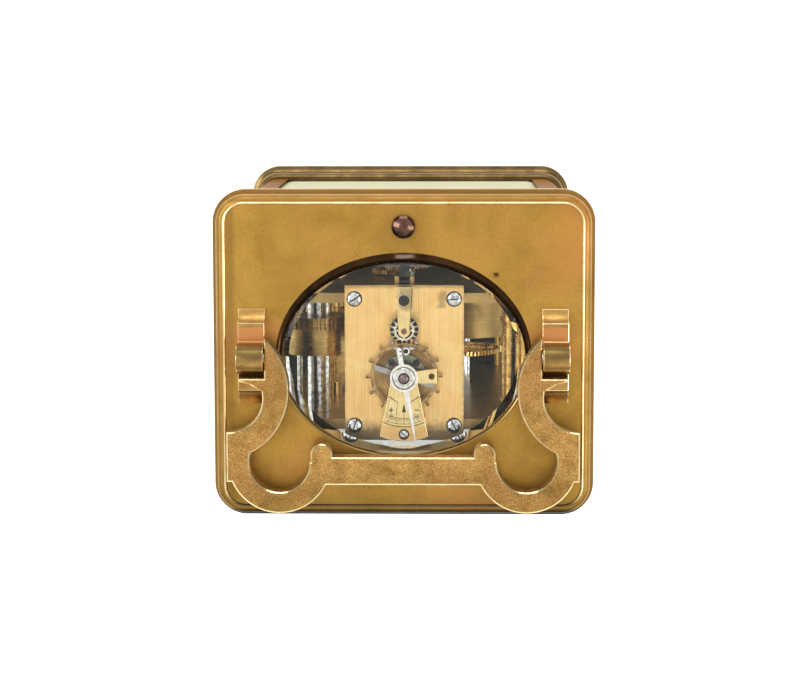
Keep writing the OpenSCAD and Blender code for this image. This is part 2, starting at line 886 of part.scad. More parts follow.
module handle_bracket() {
  difference() {
    translate([bracket_x, 0, case_height])
      rotate([90, 0, 90])
        linear_extrude(bracket_width)
          bracket_2d();
    translate([bracket_x - 1, 0, pivot_z])
      rotate([0, 90, 0])
        cylinder(h = bracket_width + 2, r = pivot_radius + running_clearance);
    translate([bracket_x + bracket_width - pivot_head_length, 0, pivot_z])
      rotate([0, 90, 0])
        cylinder(h = pivot_head_length + 1, r = pivot_head_radius + running_clearance);
  }
  for (y = [-bracket_screw_y, bracket_screw_y])
    translate([bracket_x + bracket_width/2, y, case_height - bracket_peg_depth])
      cylinder(h = bracket_peg_depth + 0.5, r = bracket_peg_radius);
}

module handle_bracket_left() color(bright_brass) handle_bracket();
module handle_bracket_right() color(bright_brass) mirror([1, 0, 0]) handle_bracket();

module handle_pivot_screws() color(steel)
  for (s = [0, 1])
    mirror([s, 0, 0])
      translate([0, 0, pivot_z])
        rotate([0, 90, 0])
          difference() {
            union() {
              translate([0, 0, arm_face_x - 3])
                cylinder(h = bracket_x + bracket_width - arm_face_x + 3 - 0.3, r = pivot_radius);
              translate([0, 0, bracket_x + bracket_width - pivot_head_length + 0.1])
                cylinder(h = pivot_head_length - 0.2, r = pivot_head_radius);
            }
            translate([-3, -0.3, bracket_x + bracket_width - 0.7])
              cube([6, 0.6, 1]);
          }

module repeat_button() color(matte_brass) translate([0, -button_y, 0]) {
  head = button_diameter/2;
  dome = 1;
  dome_radius = (head*head + dome*dome)/(2*dome);
  translate([0, 0, spring_top])
    cylinder(h = case_height + button_height - dome - spring_top, r = head);
  translate([0, 0, case_height + button_height - dome - tiny])
    intersection() {
      cylinder(h = dome + tiny, r = head);
      translate([0, 0, dome - dome_radius + tiny])
        sphere(r = dome_radius);
    }
  translate([0, 0, stem_bottom])
    cylinder(h = case_height - stem_bottom - button_travel, r = stem_radius);
}

// The button's spring: rings of wire joined by short risers
module repeat_spring() color(steel) translate([0, -button_y, 0]) {
  ring = (button_diameter/2 + stem_radius)/2;
  step = (spring_top - spring_bottom - spring_wire)/spring_turns;
  for (i = [0:spring_turns])
    translate([0, 0, spring_bottom + spring_wire/2 + i*step])
      rotate_extrude()
        translate([ring, 0])
          square(spring_wire, center = true);
  for (i = [0:spring_turns - 1])
    rotate(i*180)
      translate([ring - spring_wire/2, -spring_wire/2, spring_bottom + i*step + spring_wire/2])
        cube([spring_wire, spring_wire, step]);
}

// Sprung lever under the button, in the plane of y and z
module repeat_lever() color(steel) {
  difference() {
    union() {
      translate([-1.25, -button_y - 1.2, stem_bottom - 1.3])
        cube([2.5, button_y + lever_axis[0] + 1.2, 1]);
      translate([-1.25, lever_axis[0], lever_axis[1]])
        rotate([0, 90, 0])
          cylinder(h = 2.5, r = 1.6);
    }
    translate([-2, lever_axis[0], lever_axis[1]])
      rotate([0, 90, 0])
        cylinder(h = 4, r = 0.7 + running_clearance);
  }
}

// Two ears on the front plate carry the lever's pin
module lever_ears() {
  for (s = [-1, 1])
    translate([s*1.9 - 0.5, lever_axis[0] - 1.4, lever_axis[1] - 1.4])
      cube([1, -front_plate_y - lever_axis[0] + 1.4 + tiny, 2.8]);
  translate([-2.4, lever_axis[0], lever_axis[1]])
    rotate([0, 90, 0])
      cylinder(h = 4.8, r = 0.7);
}

module dial() color(enamel) difference() {
  rod_y(centre_at, -dial_y, dial_thickness - dial_y, dial_diameter/2 + 2);
  rod_y(centre_at, -dial_y - 1, dial_thickness - dial_y + 1, hour_pipe_radius + 0.6);
}

module dial_mask() color(bright_brass) difference() {
  translate([-mask_width/2, -dial_y - mask_thickness, mask_z])
    cube([mask_width, mask_thickness, mask_height]);
  rod_y(centre_at, -dial_y - mask_thickness - 1, 1 - dial_y, dial_diameter/2);
  translate([-lever_notch/2, -dial_y - mask_thickness - 1, stem_bottom - lever_notch_depth])
    cube([lever_notch, mask_thickness + 2, mask_height]);
}

module dial_posts() color(brass) {
  for (sx = [-1, 1], z = [mask_z + 5, mask_z + mask_height - 8])
    rod_y([sx*(plate_width/2 - 2.5), z], -dial_y, -front_plate_y, 1.5);
  for (a = [30, 150, 270])
    rod_y(reach(centre_at, dial_diameter/2 - 2, a), dial_thickness - dial_y, -front_plate_y, 1.2);
}

// A hand with a ring near its tip, pointing along +x
module hand_2d(length, width, ring, hub, bore) {
  difference() {
    union() {
      circle(hub);
      polygon([[0, -width/2], [length*0.68, -width*0.3], [length*0.68, width*0.3], [0, width/2]]);
      translate([length*0.7, 0])
        circle(ring);
      polygon([[length*0.7, -width*0.35], [length, 0], [length*0.7, width*0.35]]);
    }
    circle(bore);
    translate([length*0.7, 0])
      circle(ring - width*0.35);
  }
}

module minute_hand() color(blued)
  across(centre_at, minute_plane, minute_plane + hand_thickness)
    rotate(minute_angle)
      hand_2d(dial_diameter/2 - 3, 1, 1.5, 2, cannon_radius);

module hour_hand() color(blued)
  across(centre_at, hour_plane, hour_plane + hand_thickness)
    rotate(hour_angle)
      hand_2d(dial_diameter/2 - 9, 1.3, 1.7, 2.6, hour_pipe_radius);

module cannon_pinion() color(steel) difference() {
  union() {
    rod_y(centre_at, minute_plane - 0.6, -front_plate_y - 0.2, cannon_radius);
    across(centre_at, cannon_plane, cannon_plane + 1.2)
      pinion_2d(cannon_teeth, motion_module, minute_direction + 180/cannon_teeth);
  }
  rod_y(centre_at, minute_plane - 1.6, -front_plate_y + 1, 0.6 + running_clearance);
}

module hour_wheel() color(brass) difference() {
  union() {
    rod_y(centre_at, hour_plane - 0.3, hour_wheel_plane + 1, hour_pipe_radius);
    across(centre_at, hour_wheel_plane, hour_wheel_plane + 1)
      wheel_2d(hour_teeth, hour_module, minute_direction);
  }
  rod_y(centre_at, hour_plane - 1, -front_plate_y + 1, cannon_radius + running_clearance);
}

module minute_wheel() color(brass) difference() {
  union() {
    across(minute_at, cannon_plane, cannon_plane + 1)
      wheel_2d(minute_teeth, motion_module, minute_direction + 180);
    across(minute_at, hour_wheel_plane - 0.2, cannon_plane + tiny)
      pinion_2d(minute_pinion_teeth, hour_module,
        minute_direction + 180 + 180/minute_pinion_teeth);
  }
  rod_y(minute_at, hour_wheel_plane - 1, cannon_plane + 2, 0.6 + running_clearance);
}

// A plate of the movement, without its holes
module plate_blank(y0) {
  translate([-plate_width/2, y0, base_height])
    cube([plate_width, plate_thickness, plate_height]);
}

// The train's pivot holes, the same in both plates
module train_holes(y0) {
  for (p = [second_at, third_at, contrate_at, strike_second_at, pin_at, fly_at, hammer_at])
    pivot_hole(p, y0, y0 + plate_thickness, pivot_pin);
  for (p = [going_at, strike_at, alarm_at])
    pivot_hole(p, y0, y0 + plate_thickness, winding_radius);
  platform_screw_places()
    translate([0, 0, plate_top - 5])
      cylinder(h = 6, r = platform_screw_shank);
}

module platform_screw_places() {
  for (sx = [-1, 1], y = [-front_plate_y + plate_thickness/2, rear_inner + plate_thickness/2])
    translate([sx*platform_screw_x, y, 0])
      children();
}

module front_plate() color(brass) {
  difference() {
    plate_blank(-front_plate_y);
    train_holes(-front_plate_y);
    pivot_hole(centre_at, -front_plate_y, front_inner, arbor_radius);
  }
  lever_ears();
  rod_y(minute_at, hour_wheel_plane - 0.4, -front_plate_y + tiny, 0.6);
}

module rear_plate() color(brass) {
  difference() {
    plate_blank(rear_inner);
    train_holes(rear_inner);
    pivot_hole(centre_at, rear_inner, rear_outer, pivot_pin);
  }
  for (s = [-1, 1])
    rod_y(click_at(s), rear_outer - tiny, ratchet_plane + ratchet_thickness + 0.4, click_stud_radius);
}

module movement_pillars() color(bright_brass) difference() {
  union() {
    for (sx = [-1, 1])
      rod_y([sx*post_x, movement_post_z], front_inner, rear_inner, movement_pillar_radius);
    for (p = upper_posts) {
      rod_y(p, front_inner, rear_inner, movement_pillar_radius);
      for (y = [front_inner + 4, rear_inner - 5])
        rod_y(p, y, y + 1, movement_pillar_radius + post_collar);
    }
  }
  movement_screw_places()
    translate([0, 0, base_height - 1])
      cylinder(h = movement_pillar_radius + 1, r = movement_screw_radius);
}

// A barrel: drum with a great wheel on its front
module barrel(p, phase) {
  difference() {
    union() {
      across(p, great_plane, drum_plane)
        wheel_2d(great_teeth, great_module, phase);
      rod_y(p, drum_plane - tiny, drum_end, drum_radius);
    }
    rod_y(p, drum_plane, drum_end - drum_wall, drum_radius - drum_wall);
    rod_y(p, great_plane - 1, drum_end + 1, winding_radius + running_clearance);
  }
}

// The winding arbor, with a ratchet wheel outside the rear plate
module winding_arbor(p) {
  rod_y(p, -front_plate_y + 0.6, ratchet_plane, winding_radius);
  across(p, ratchet_plane, ratchet_plane + ratchet_thickness)
    ratchet_2d();
  across(p, ratchet_plane, rear_outer + square_reach)
    square(winding_square, center = true);
  rod_y(p, drum_plane + 0.6, drum_end - drum_wall - 0.4, winding_radius + hub_step);
}

// Saw teeth that a click holds one way
module ratchet_2d() {
  polygon([for (i = [0:ratchet_teeth - 1], s = [[0, -0.8], [0.06, 0], [0.9, -0.75]])
    let(r = ratchet_radius + s[1], a = (i + s[0])*360/ratchet_teeth)
      [r*cos(a), r*sin(a)]]);
}

function mainspring_half_turns(drum, inner)
  = 2*floor((drum - drum_wall - inner - mainspring_strip)/mainspring_pitch);

// A mainspring's coils inside a drum, as one strip wound by half turns
module mainspring(p) {
  inner = winding_radius + hub_step + running_clearance;
  across(p, drum_plane + 0.8, drum_end - drum_wall - 0.6)
    spiral_2d(inner, mainspring_pitch, mainspring_strip, mainspring_half_turns(drum_radius, inner));
}

// A flat spiral made of half circles, with its centre moving half a step each time
module spiral_2d(inner, pitch, strip, half_turns) {
  for (i = [0:half_turns - 1]) {
    r = inner + i*pitch/2 + strip/2;
    rotate(i*180)
      translate([-pitch/4, 0])
        half_ring_2d(r + pitch/4, strip);
  }
}

// A point on a spiral's middle line, and the least room between its turns
function spiral_point(inner, pitch, strip, i, t)
  = let(r = inner + strip/2 + pitch/4 + i*pitch/2, side = i % 2 == 0 ? 1 : -1)
    [side*(r*cos(t) - pitch/4), side*r*sin(t)];
function spiral_room(inner, pitch, strip, half_turns)
  = min([for (i = [0:half_turns - 3], t = [0:15:180], u = [0:15:180])
    norm(spiral_point(inner, pitch, strip, i, t) - spiral_point(inner, pitch, strip, i + 2, u))]) - strip;
echo(gong_room = spiral_room(gong_inner, gong_pitch, gong_rod, 2*gong_turns));
echo(hairspring_room = spiral_room(collet_radius, hairspring_pitch, hairspring_strip, hairspring_half_turns));

module half_ring_2d(r, strip) {
  difference() {
    circle(r + strip/2, $fn = 64);
    circle(r - strip/2, $fn = 64);
    translate([-2*r, -4*r])
      square([4*r, 4*r]);
  }
}

module going_barrel() color(brass) barrel(going_at, angle_to(going_at, second_at));
module strike_barrel() color(brass) barrel(strike_at, angle_to(strike_at, strike_second_at));
module going_arbor() color(steel) winding_arbor(going_at);
module strike_arbor() color(steel) winding_arbor(strike_at);

// The small alarm barrel at the top: a toothed wheel ahead of a short drum
module alarm_barrel() color(brass) difference() {
  union() {
    across(alarm_at, alarm_plane, alarm_plane + alarm_wheel_thickness)
      wheel_2d(alarm_teeth, alarm_module, 0);
    rod_y(alarm_at, alarm_plane, alarm_end, alarm_drum_radius);
  }
  rod_y(alarm_at, alarm_plane + alarm_wheel_thickness, alarm_end - drum_wall,
    alarm_drum_radius - drum_wall);
  rod_y(alarm_at, alarm_plane - 1, alarm_end + 1, alarm_arbor_radius + running_clearance);
  translate([alarm_at[0] + 1.5, (alarm_plane + alarm_wheel_thickness + alarm_end)/2 + 1.6, alarm_at[1]])
    cylinder(h = alarm_drum_radius + 1, r = 0.4);
}

// Its thick polished arbor, with a winding square behind the rear plate
module alarm_arbor() color(steel) {
  rod_y(alarm_at, front_inner + 0.15, rear_inner - 0.15, alarm_arbor_radius);
  rod_y(alarm_at, -front_plate_y + 0.6, rear_outer + 1, winding_radius);
  across(alarm_at, rear_outer + 1, rear_outer + square_reach)
    square(winding_square, center = true);
}

module mainsprings() color(steel) {
  mainspring(going_at);
  mainspring(strike_at);
  across(alarm_at, alarm_plane + alarm_wheel_thickness + 0.4, alarm_end - drum_wall - 0.4)
    spiral_2d(alarm_arbor_radius + 0.1, mainspring_pitch, mainspring_strip,
      mainspring_half_turns(alarm_drum_radius, alarm_arbor_radius + 0.1));
}

function click_at(s) = [s*(barrel_x + click_distance*cos(click_angle)), barrel_z - click_distance*sin(click_angle)];

// A click on its stud, with its nose in the ratchet
module click(s) {
  p = click_at(s);
  across(p, ratchet_plane, ratchet_plane + ratchet_thickness)
    difference() {
      union() {
        circle(1.7);
        rotate(s > 0 ? 205 : -25)
          polygon([[0, -1.4], [3.1, -0.3], [3.1, 0.1], [0, 1.2]]);
      }
      circle(click_stud_radius + running_clearance);
    }
}

module going_click() color(steel) click(-1);
module strike_click() color(steel) click(1);

// A wheel and its pinion on one arbor
module wheel_on_arbor(p, plane, thickness, pinion_y0, pinion_y1) {
  arbor_y(p, front_inner, rear_inner);
  across(p, plane, plane + thickness)
    children(0);
  across(p, pinion_y0, pinion_y1)
    children(1);
}

module intermediate_wheel() color(brass)
  wheel_on_arbor(second_at, second_plane, wheel_thickness,
    great_plane - pinion_margin, drum_plane + pinion_margin) {
    crossed_wheel_2d(second_teeth, second_module, angle_to(second_at, centre_at), 5, 2.8);
    pinion_2d(great_pinion, great_module, angle_to(second_at, going_at) + 180/great_pinion);
  }

module centre_wheel() color(brass) {
  rod_y(centre_at, minute_plane - 0.4, -front_plate_y + 1, 0.6);
  rod_y(centre_at, -front_plate_y, rear_inner - 0.15, arbor_radius);
  rod_y(centre_at, rear_inner - 1, rear_outer - 0.6, pivot_pin);
  across(centre_at, centre_plane, centre_plane + wheel_thickness)
    crossed_wheel_2d(centre_teeth, centre_module, angle_to(centre_at, third_at), 5, 3);
  across(centre_at, second_plane - pinion_margin, second_plane + wheel_thickness + pinion_margin)
    pinion_2d(second_pinion, second_module, angle_to(centre_at, second_at) + 180/second_pinion);
}

module third_wheel() color(brass)
  wheel_on_arbor(third_at, third_plane, wheel_thickness,
    centre_plane - pinion_margin, centre_plane + wheel_thickness + pinion_margin) {
    crossed_wheel_2d(third_teeth, third_module, angle_to(third_at, contrate_at), 5, 2.6);
    pinion_2d(centre_pinion_leaves, centre_module,
      angle_to(third_at, centre_at) + 180/centre_pinion_leaves);
  }

// The crown wheel that turns the drive upright
module contrate_wheel() color(brass) {
  web_y = crown_face + 2.4;
  arbor_y(contrate_at, front_inner, rear_inner);
  across(contrate_at, web_y, web_y + 0.9)
    difference() {
      circle(crown_radius + crown_width/2);
      difference() {
        circle(crown_radius - crown_width/2 - 1);
        circle(2.2);
        for (i = [0:3])
          rotate(i*90)
            translate([0, -0.6])
              square([crown_radius, 1.2]);
      }
    }
  across(contrate_at, crown_face + pinion_addendum*crown_module + 0.2, web_y + tiny)
    difference() {
      circle(crown_radius + crown_width/2);
      circle(crown_radius - crown_width/2);
    }
  for (i = [0:crown_teeth - 1])
    translate([contrate_at[0], 0, contrate_at[1]])
      rotate([0, -90 - i*360/crown_teeth, 0])
        crown_tooth();
  across(contrate_at, third_plane - pinion_margin, third_plane + wheel_thickness + pinion_margin)
    pinion_2d(third_pinion_leaves, third_module,
      angle_to(contrate_at, third_at) + 180/third_pinion_leaves);
}

// One crown tooth on the rim, pointing to the front
module crown_tooth() {
  half = wheel_share*PI*crown_module/2;
  root_y = crown_face + pinion_addendum*crown_module + 0.25;
  tip_y = crown_face - 0.8*crown_module;
  translate([crown_radius - crown_width/2 + 0.05, 0, 0])
    rotate([90, 0, 90])
      linear_extrude(crown_width - 0.1)
        polygon([[root_y, -half*1.2], [crown_face, -half], [tip_y, -half*0.45],
          [tip_y, half*0.45], [crown_face, half], [root_y, half*1.2]]);
}

module strike_second_wheel() color(brass)
  wheel_on_arbor(strike_second_at, second_plane, wheel_thickness,
    great_plane - pinion_margin, drum_plane + pinion_margin) {
    crossed_wheel_2d(second_teeth, strike_module, angle_to(strike_second_at, pin_at), 5, 2.8);
    pinion_2d(great_pinion, great_module,
      angle_to(strike_second_at, strike_at) + 180/great_pinion);
  }

module pin_wheel() color(brass) {
  wheel_on_arbor(pin_at, pin_plane, wheel_thickness,
    second_plane - pinion_margin, second_plane + wheel_thickness + pinion_margin) {
    crossed_wheel_2d(pin_teeth, pin_module, angle_to(pin_at, fly_at), 4, 2.2);
    pinion_2d(strike_pinion, strike_module,
      angle_to(pin_at, strike_second_at) + 180/strike_pinion);
  }
  for (i = [0:7])
    rod_y(reach(pin_at, pin_circle, i*45), pin_plane + wheel_thickness - tiny,
      pin_plane + wheel_thickness + 1.6, pin_radius);
}

module fly() color(bright_brass) {
  arbor_y(fly_at, front_inner, rear_inner);
  across(fly_at, pin_plane - pinion_margin, pin_plane + wheel_thickness + pinion_margin)
    pinion_2d(pin_pinion, pin_module, angle_to(fly_at, pin_at) + 180/pin_pinion);
  across(fly_at, fly_plane, fly_plane + 10) {
    square([11, 0.5], center = true);
    circle(1.5);
  }
}

// The hammer: an arbor between the plates with a tail by the pins, and an arm outside
module hammer() color(steel) {
  arbor_y(hammer_at, front_inner, rear_inner);
  rod_y(hammer_at, rear_inner, hammer_plane + hammer_arm_thickness, pivot_pin);
  across(hammer_at, pin_plane + wheel_thickness + 0.2, pin_plane + wheel_thickness + 1.4)
    rotate(angle_to(hammer_at, pin_at))
      translate([0, -0.5])
        square([tail_length, 1]);
  across(hammer_at, hammer_plane, hammer_plane + hammer_arm_thickness) {
    circle(1.6);
    rotate(hammer_angle)
      translate([0, -hammer_arm_width/2])
        square([hammer_reach, hammer_arm_width]);
  }
  rod_y(reach(hammer_at, hammer_reach, hammer_angle), hammer_plane, gong_plane + gong_rod,
    hammer_head_radius);
}

// A flat spiral of blued rod round the winding squares, ending at the bottom
module gong() color(blued)
  across(gong_at, gong_plane, gong_plane + gong_rod)
    rotate(-90)
      spiral_2d(gong_inner, gong_pitch, gong_rod, 2*gong_turns);

// The block that holds the gong's outer end on the rear plate
module gong_block() color(brass)
  translate([0, rear_outer, gong_at[1] - gong_outer - block_side/2])
    cube([block_side, gong_plane + gong_rod - rear_outer + 0.6, block_side]);

// The platform plate, with the bracket for the escape arbor's lower pivot under it
module platform() color(bright_brass) difference() {
  union() {
    translate([-platform_width/2, platform_y - platform_length/2, plate_top])
      cube([platform_width, platform_length, platform_thickness]);
    translate([-1.5, escape_y - 5.6, potence_z])
      cube([3, 1.6, plate_top - potence_z + tiny]);
    translate([-1.5, escape_y - 5.6, potence_z])
      cube([3, 6.6, 1.4]);
  }
  platform_screw_places()
    translate([0, 0, plate_top - 1])
      cylinder(h = platform_thickness + 2, r = platform_screw_shank);
  translate([0, escape_y, potence_z - 1])
    cylinder(h = 3, r = pivot_pin + running_clearance);
  translate([0, escape_y, plate_top - 1])
    cylinder(h = platform_thickness + 2, r = 1.6);
  for (y = [lever_y, balance_y])
    translate([0, y, platform_top - 1.5])
      cylinder(h = 2, r = staff_radius + running_clearance);
  for (p = cock_screws)
    translate([p[0], p[1], platform_top - 2])
      cylinder(h = 3, r = cock_screw_shank);
}

// Slotted cheese-head screw, its head's underside at the origin
module slotted_screw(head, head_height, shank, length) {
  difference() {
    union() {
      cylinder(h = head_height, r = head);
      translate([0, 0, -length])
        cylinder(h = length + tiny, r = shank);
    }
    translate([-head - 1, -head*0.14, head_height*0.55])
      cube([2*head + 2, head*0.28, head_height]);
  }
}

module platform_screws() color(steel) {
  platform_screw_places()
    translate([0, 0, platform_top])
      rotate(35)
        slotted_screw(platform_screw_head, 1, platform_screw_shank, platform_thickness + 4);
  translate([0, escape_screw_y, escape_cock_top])
    rotate(20)
      slotted_screw(1.35, 0.9, cock_screw_shank, escape_cock_top - platform_top + 1.8);
  translate([0, balance_screw_y, cock_z])
    rotate(70)
      slotted_screw(1.1, cock_tier - 0.1, cock_screw_shank, cock_z - platform_top + 1.8);
}

// A straight tapered bar with a foot at the platform's front edge
module escape_cock() difference() {
  union() {
    translate([0, 0, platform_top])
      linear_extrude(escape_cock_top - platform_top)
        polygon([[-2.2, cock_foot_y], [2.2, cock_foot_y], [2, escape_y - 4.6], [-2, escape_y - 4.6]]);
    translate([0, 0, escape_cock_top - escape_cock_thickness])
      linear_extrude(escape_cock_thickness) {
        polygon([[-2.2, cock_foot_y], [2.2, cock_foot_y], [1.45, escape_y], [-1.45, escape_y]]);
        translate([0, escape_y])
          circle(1.45);
      }
  }
  translate([0, escape_screw_y, platform_top - 1])
    cylinder(h = 8, r = cock_screw_shank);
  translate([0, escape_y, platform_top])
    cylinder(h = 8, r = staff_radius + running_clearance);
}

// A low half-round bridge over the pallet arbor, on two feet, open round the roller
module pallet_cock() difference() {
  union() {
    for (s = [-1, 1])
      translate([s*pallet_foot_x, pallet_foot_y, platform_top])
        cylinder(h = pallet_cock_z - platform_top + 0.1, r = 0.9);
    translate([0, 0, pallet_cock_z - pallet_cock_thickness])
      linear_extrude(pallet_cock_thickness) {
        translate([0, lever_y])
          circle(1);
        translate([-1, lever_y])
          square([2, 3]);
        intersection() {
          translate([0, balance_y])
            circle(pallet_cock_radius);
          translate([-pallet_cock_radius, pallet_cock_back - pallet_cock_radius])
            square([2*pallet_cock_radius, pallet_cock_radius]);
        }
      }
  }
  translate([0, balance_y, platform_top])
    cylinder(h = 4, r = roller_radius + 0.4);
  translate([0, lever_y, platform_top])
    cylinder(h = 4, r = staff_radius + running_clearance);
}

module escape_cocks() color(bright_brass) {
  escape_cock();
  pallet_cock();
}

// Escape wheel, its arbor and the pinion that meets the crown wheel
module escape_wheel() color(bright_brass) translate([0, escape_y, 0]) {
  arms = 4;
  translate([0, 0, potence_z + 0.3])
    cylinder(h = escape_cock_top - potence_z - 0.6, r = staff_radius);
  translate([0, 0, potence_z + 1.6])
    cylinder(h = escape_z - potence_z - 0.5, r = 0.6);
  translate([0, 0, contrate_at[1] + crown_radius - 1.6])
    linear_extrude(3.2)
      pinion_2d(escape_pinion_leaves, crown_module, 90 + 180/escape_pinion_leaves);
  translate([0, 0, escape_z])
    linear_extrude(0.45)
      difference() {
        escape_2d();
        difference() {
          circle(escape_radius - 1.5);
          circle(0.9);
          for (i = [0:arms - 1])
            rotate(i*360/arms)
              translate([0, -0.2])
                square([escape_radius, 0.4]);
        }
      }
}

// Fifteen club teeth
module escape_2d() {
  teeth = 15;
  step = 360/teeth;
  polygon([for (i = [0:teeth - 1], s = [[0, -0.95], [0.02, 0], [0.14, 0.0], [0.32, -0.95]])
    let(r = escape_radius + s[1], a = 90 + escape_phase + (i + s[0])*step)
      [r*cos(a), r*sin(a)]]);
}

// Lever with two pallets round the escape wheel and a fork toward the balance
module pallet_lever() color(steel) translate([0, lever_y, 0]) {
  translate([0, 0, platform_top - 1.3])
    cylinder(h = pallet_cock_z - platform_top + 1.2, r = staff_radius);
  translate([0, 0, escape_z - 0.1])
    linear_extrude(lever_top - escape_z + 0.1) {
      circle(0.8);
      polygon([[-0.35, 0], [0.35, 0], [0.3, roller_y - lever_y - 1.1], [-0.3, roller_y - lever_y - 1.1]]);
      for (s = [-1, 1]) {
        polygon([[s*0.25, roller_y - lever_y - 1.3], [s*0.9, roller_y - lever_y - 0.2],
          [s*0.45, roller_y - lever_y + 0.3], [s*0.35, roller_y - lever_y - 0.6],
          [0, roller_y - lever_y - 0.9], [0, roller_y - lever_y - 1.3]]);
        polygon([[0, 0.5], [s*2.9, -0.3], [s*3.2, -1.9], [s*2.7, -2.0], [s*2.3, -0.9], [0, -0.5]]);
      }
    }
}

// Balance wheel with its staff, roller, impulse pin and timing screws
module balance() color(bright_brass) translate([0, balance_y, 0]) {
  translate([0, 0, platform_top - 1.3])
    cylinder(h = cock_z - platform_top + 1.6, r = staff_radius);
  translate([0, 0, roller_z])
    cylinder(h = balance_z - roller_z + tiny, r = 0.8);
  translate([0, 0, roller_z])
    cylinder(h = 0.35, r = roller_radius);
  translate([0, -impulse_radius, lever_top + running_clearance])
    cylinder(h = roller_z - lever_top, r = 0.2);
  translate([0, 0, balance_z])
    cylinder(h = hairspring_z + hairspring_height - balance_z, r = collet_radius);
  translate([0, 0, balance_z]) {
    linear_extrude(balance_rim)
      difference() {
        circle(balance_radius, $fn = 72);
        difference() {
          circle(balance_radius - balance_rim_width, $fn = 72);
          circle(1.3);
          rotate(balance_rest)
            square([2*balance_radius, 1.3], center = true);
        }
      }
    for (i = [0:timing_screws - 1])
      rotate(balance_rest + timing_phase + i*360/timing_screws)
        translate([balance_radius - 0.2, 0, balance_rim/2])
          rotate([0, 90, 0]) {
            cylinder(h = 0.7, r = 0.25);
            translate([0, 0, 0.55])
              cylinder(h = 0.85, r = 0.4);
          }
  }
}

// The balance spring: a fine flat spiral under the cock
module hairspring() color(blued)
  translate([0, balance_y, hairspring_z])
    linear_extrude(hairspring_height)
      rotate(180)
        spiral_2d(collet_radius, hairspring_pitch, hairspring_strip, hairspring_half_turns);

// The balance cock: a foot at the rear and a fan-shaped bridge over the balance
module balance_cock() color(bright_brass) difference() {
  translate([0, balance_y, 0]) {
    translate([0, 0, platform_top])
      linear_extrude(cock_z - platform_top)
        cock_fan(cock_foot, cock_reach);
    translate([0, 0, cock_z - cock_thickness])
      linear_extrude(cock_thickness) {
        cock_fan(0, cock_reach);
        circle(regulator_radius);
      }
    translate([0, 0, cock_z - tiny])
      linear_extrude(cock_tier + tiny) {
        cock_fan(0, cock_tier_reach);
        circle(regulator_radius);
      }
    translate([0, 0, cock_z])
      cylinder(h = cock_tier + end_cap_height, r = end_cap_radius);
    translate([-hairspring_end - running_clearance - 0.8, -0.8, hairspring_z - 0.1])
      cube([0.8, 0.8, cock_z - hairspring_z]);
    translate([0, 0, cock_z - cock_thickness])
      linear_extrude(cock_thickness)
        stud_arm_2d();
  }
  translate([0, balance_y, cock_z - cock_thickness - 1])
    cylinder(h = 4, r = staff_radius + running_clearance);
  translate([0, balance_screw_y, platform_top - 1])
    cylinder(h = 10, r = cock_screw_shank);
}

// The arm beside the cock that carries the balance spring's stud and a screw
module stud_arm_2d() {
  difference() {
    polygon([[0, -1.5], [-3.6, -1.6], [-8, -2.2], [-8, 1.4], [-3.6, 1.4], [0, 1.5]]);
    translate([-6.8, -0.3])
      circle(0.8);
  }
}

// The fan's plan behind the balance, between two radii
module cock_fan(r0, r1) {
  intersection() {
    difference() {
      circle(r1, $fn = 96);
      if (r0 > 0)
        circle(r0);
    }
    polygon([[-cock_half, 0], [cock_half, 0], [cock_half + 20*cock_flare, 20],
      [-cock_half - 20*cock_flare, 20]]);
  }
}

// The regulator: a ring round the cock's boss, a tail and a long pointer
module regulator() color(steel)
  translate([0, balance_y, cock_z + cock_tier])
    rotate(regulator_angle)
      linear_extrude(regulator_thickness)
        difference() {
          union() {
            circle(regulator_radius);
            translate([-tail_width/2, 0])
              square([tail_width, regulator_step]);
            polygon([[-tail_width/2, regulator_step - 0.1], [0.3, regulator_step - 0.1],
              [0.1, pointer_reach], [-0.2, pointer_reach]]);
            translate([-tail_width/2, -tail_reach + tail_width/2])
              square([tail_width, tail_reach]);
            translate([0, -tail_reach + tail_width/2])
              circle(tail_width/2);
          }
          circle(end_cap_radius + running_clearance);
        }

base_moulding();
pillar_front_left();
pillar_front_right();
pillar_rear_left();
pillar_rear_right();
top_frame();
top_glass();
front_glass();
left_glass();
right_glass();
door_frame();
door_glass();
door_knob();
base_screws();
handle();
handle_bracket_left();
handle_bracket_right();
handle_pivot_screws();
repeat_button();
repeat_spring();
repeat_lever();
dial();
dial_mask();
dial_posts();
minute_hand();
hour_hand();
cannon_pinion();
hour_wheel();
minute_wheel();
front_plate();
rear_plate();
movement_pillars();
going_barrel();
going_arbor();
going_click();
strike_barrel();
strike_arbor();
strike_click();
alarm_barrel();
alarm_arbor();
mainsprings();
intermediate_wheel();
centre_wheel();
third_wheel();
contrate_wheel();
strike_second_wheel();
pin_wheel();
fly();
hammer();
gong();
gong_block();
platform();
platform_screws();
escape_cocks();
escape_wheel();
pallet_lever();
balance();
hairspring();
balance_cock();
regulator();
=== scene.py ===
import json
import math

import bmesh
import bpy
from mathutils import Matrix, Vector

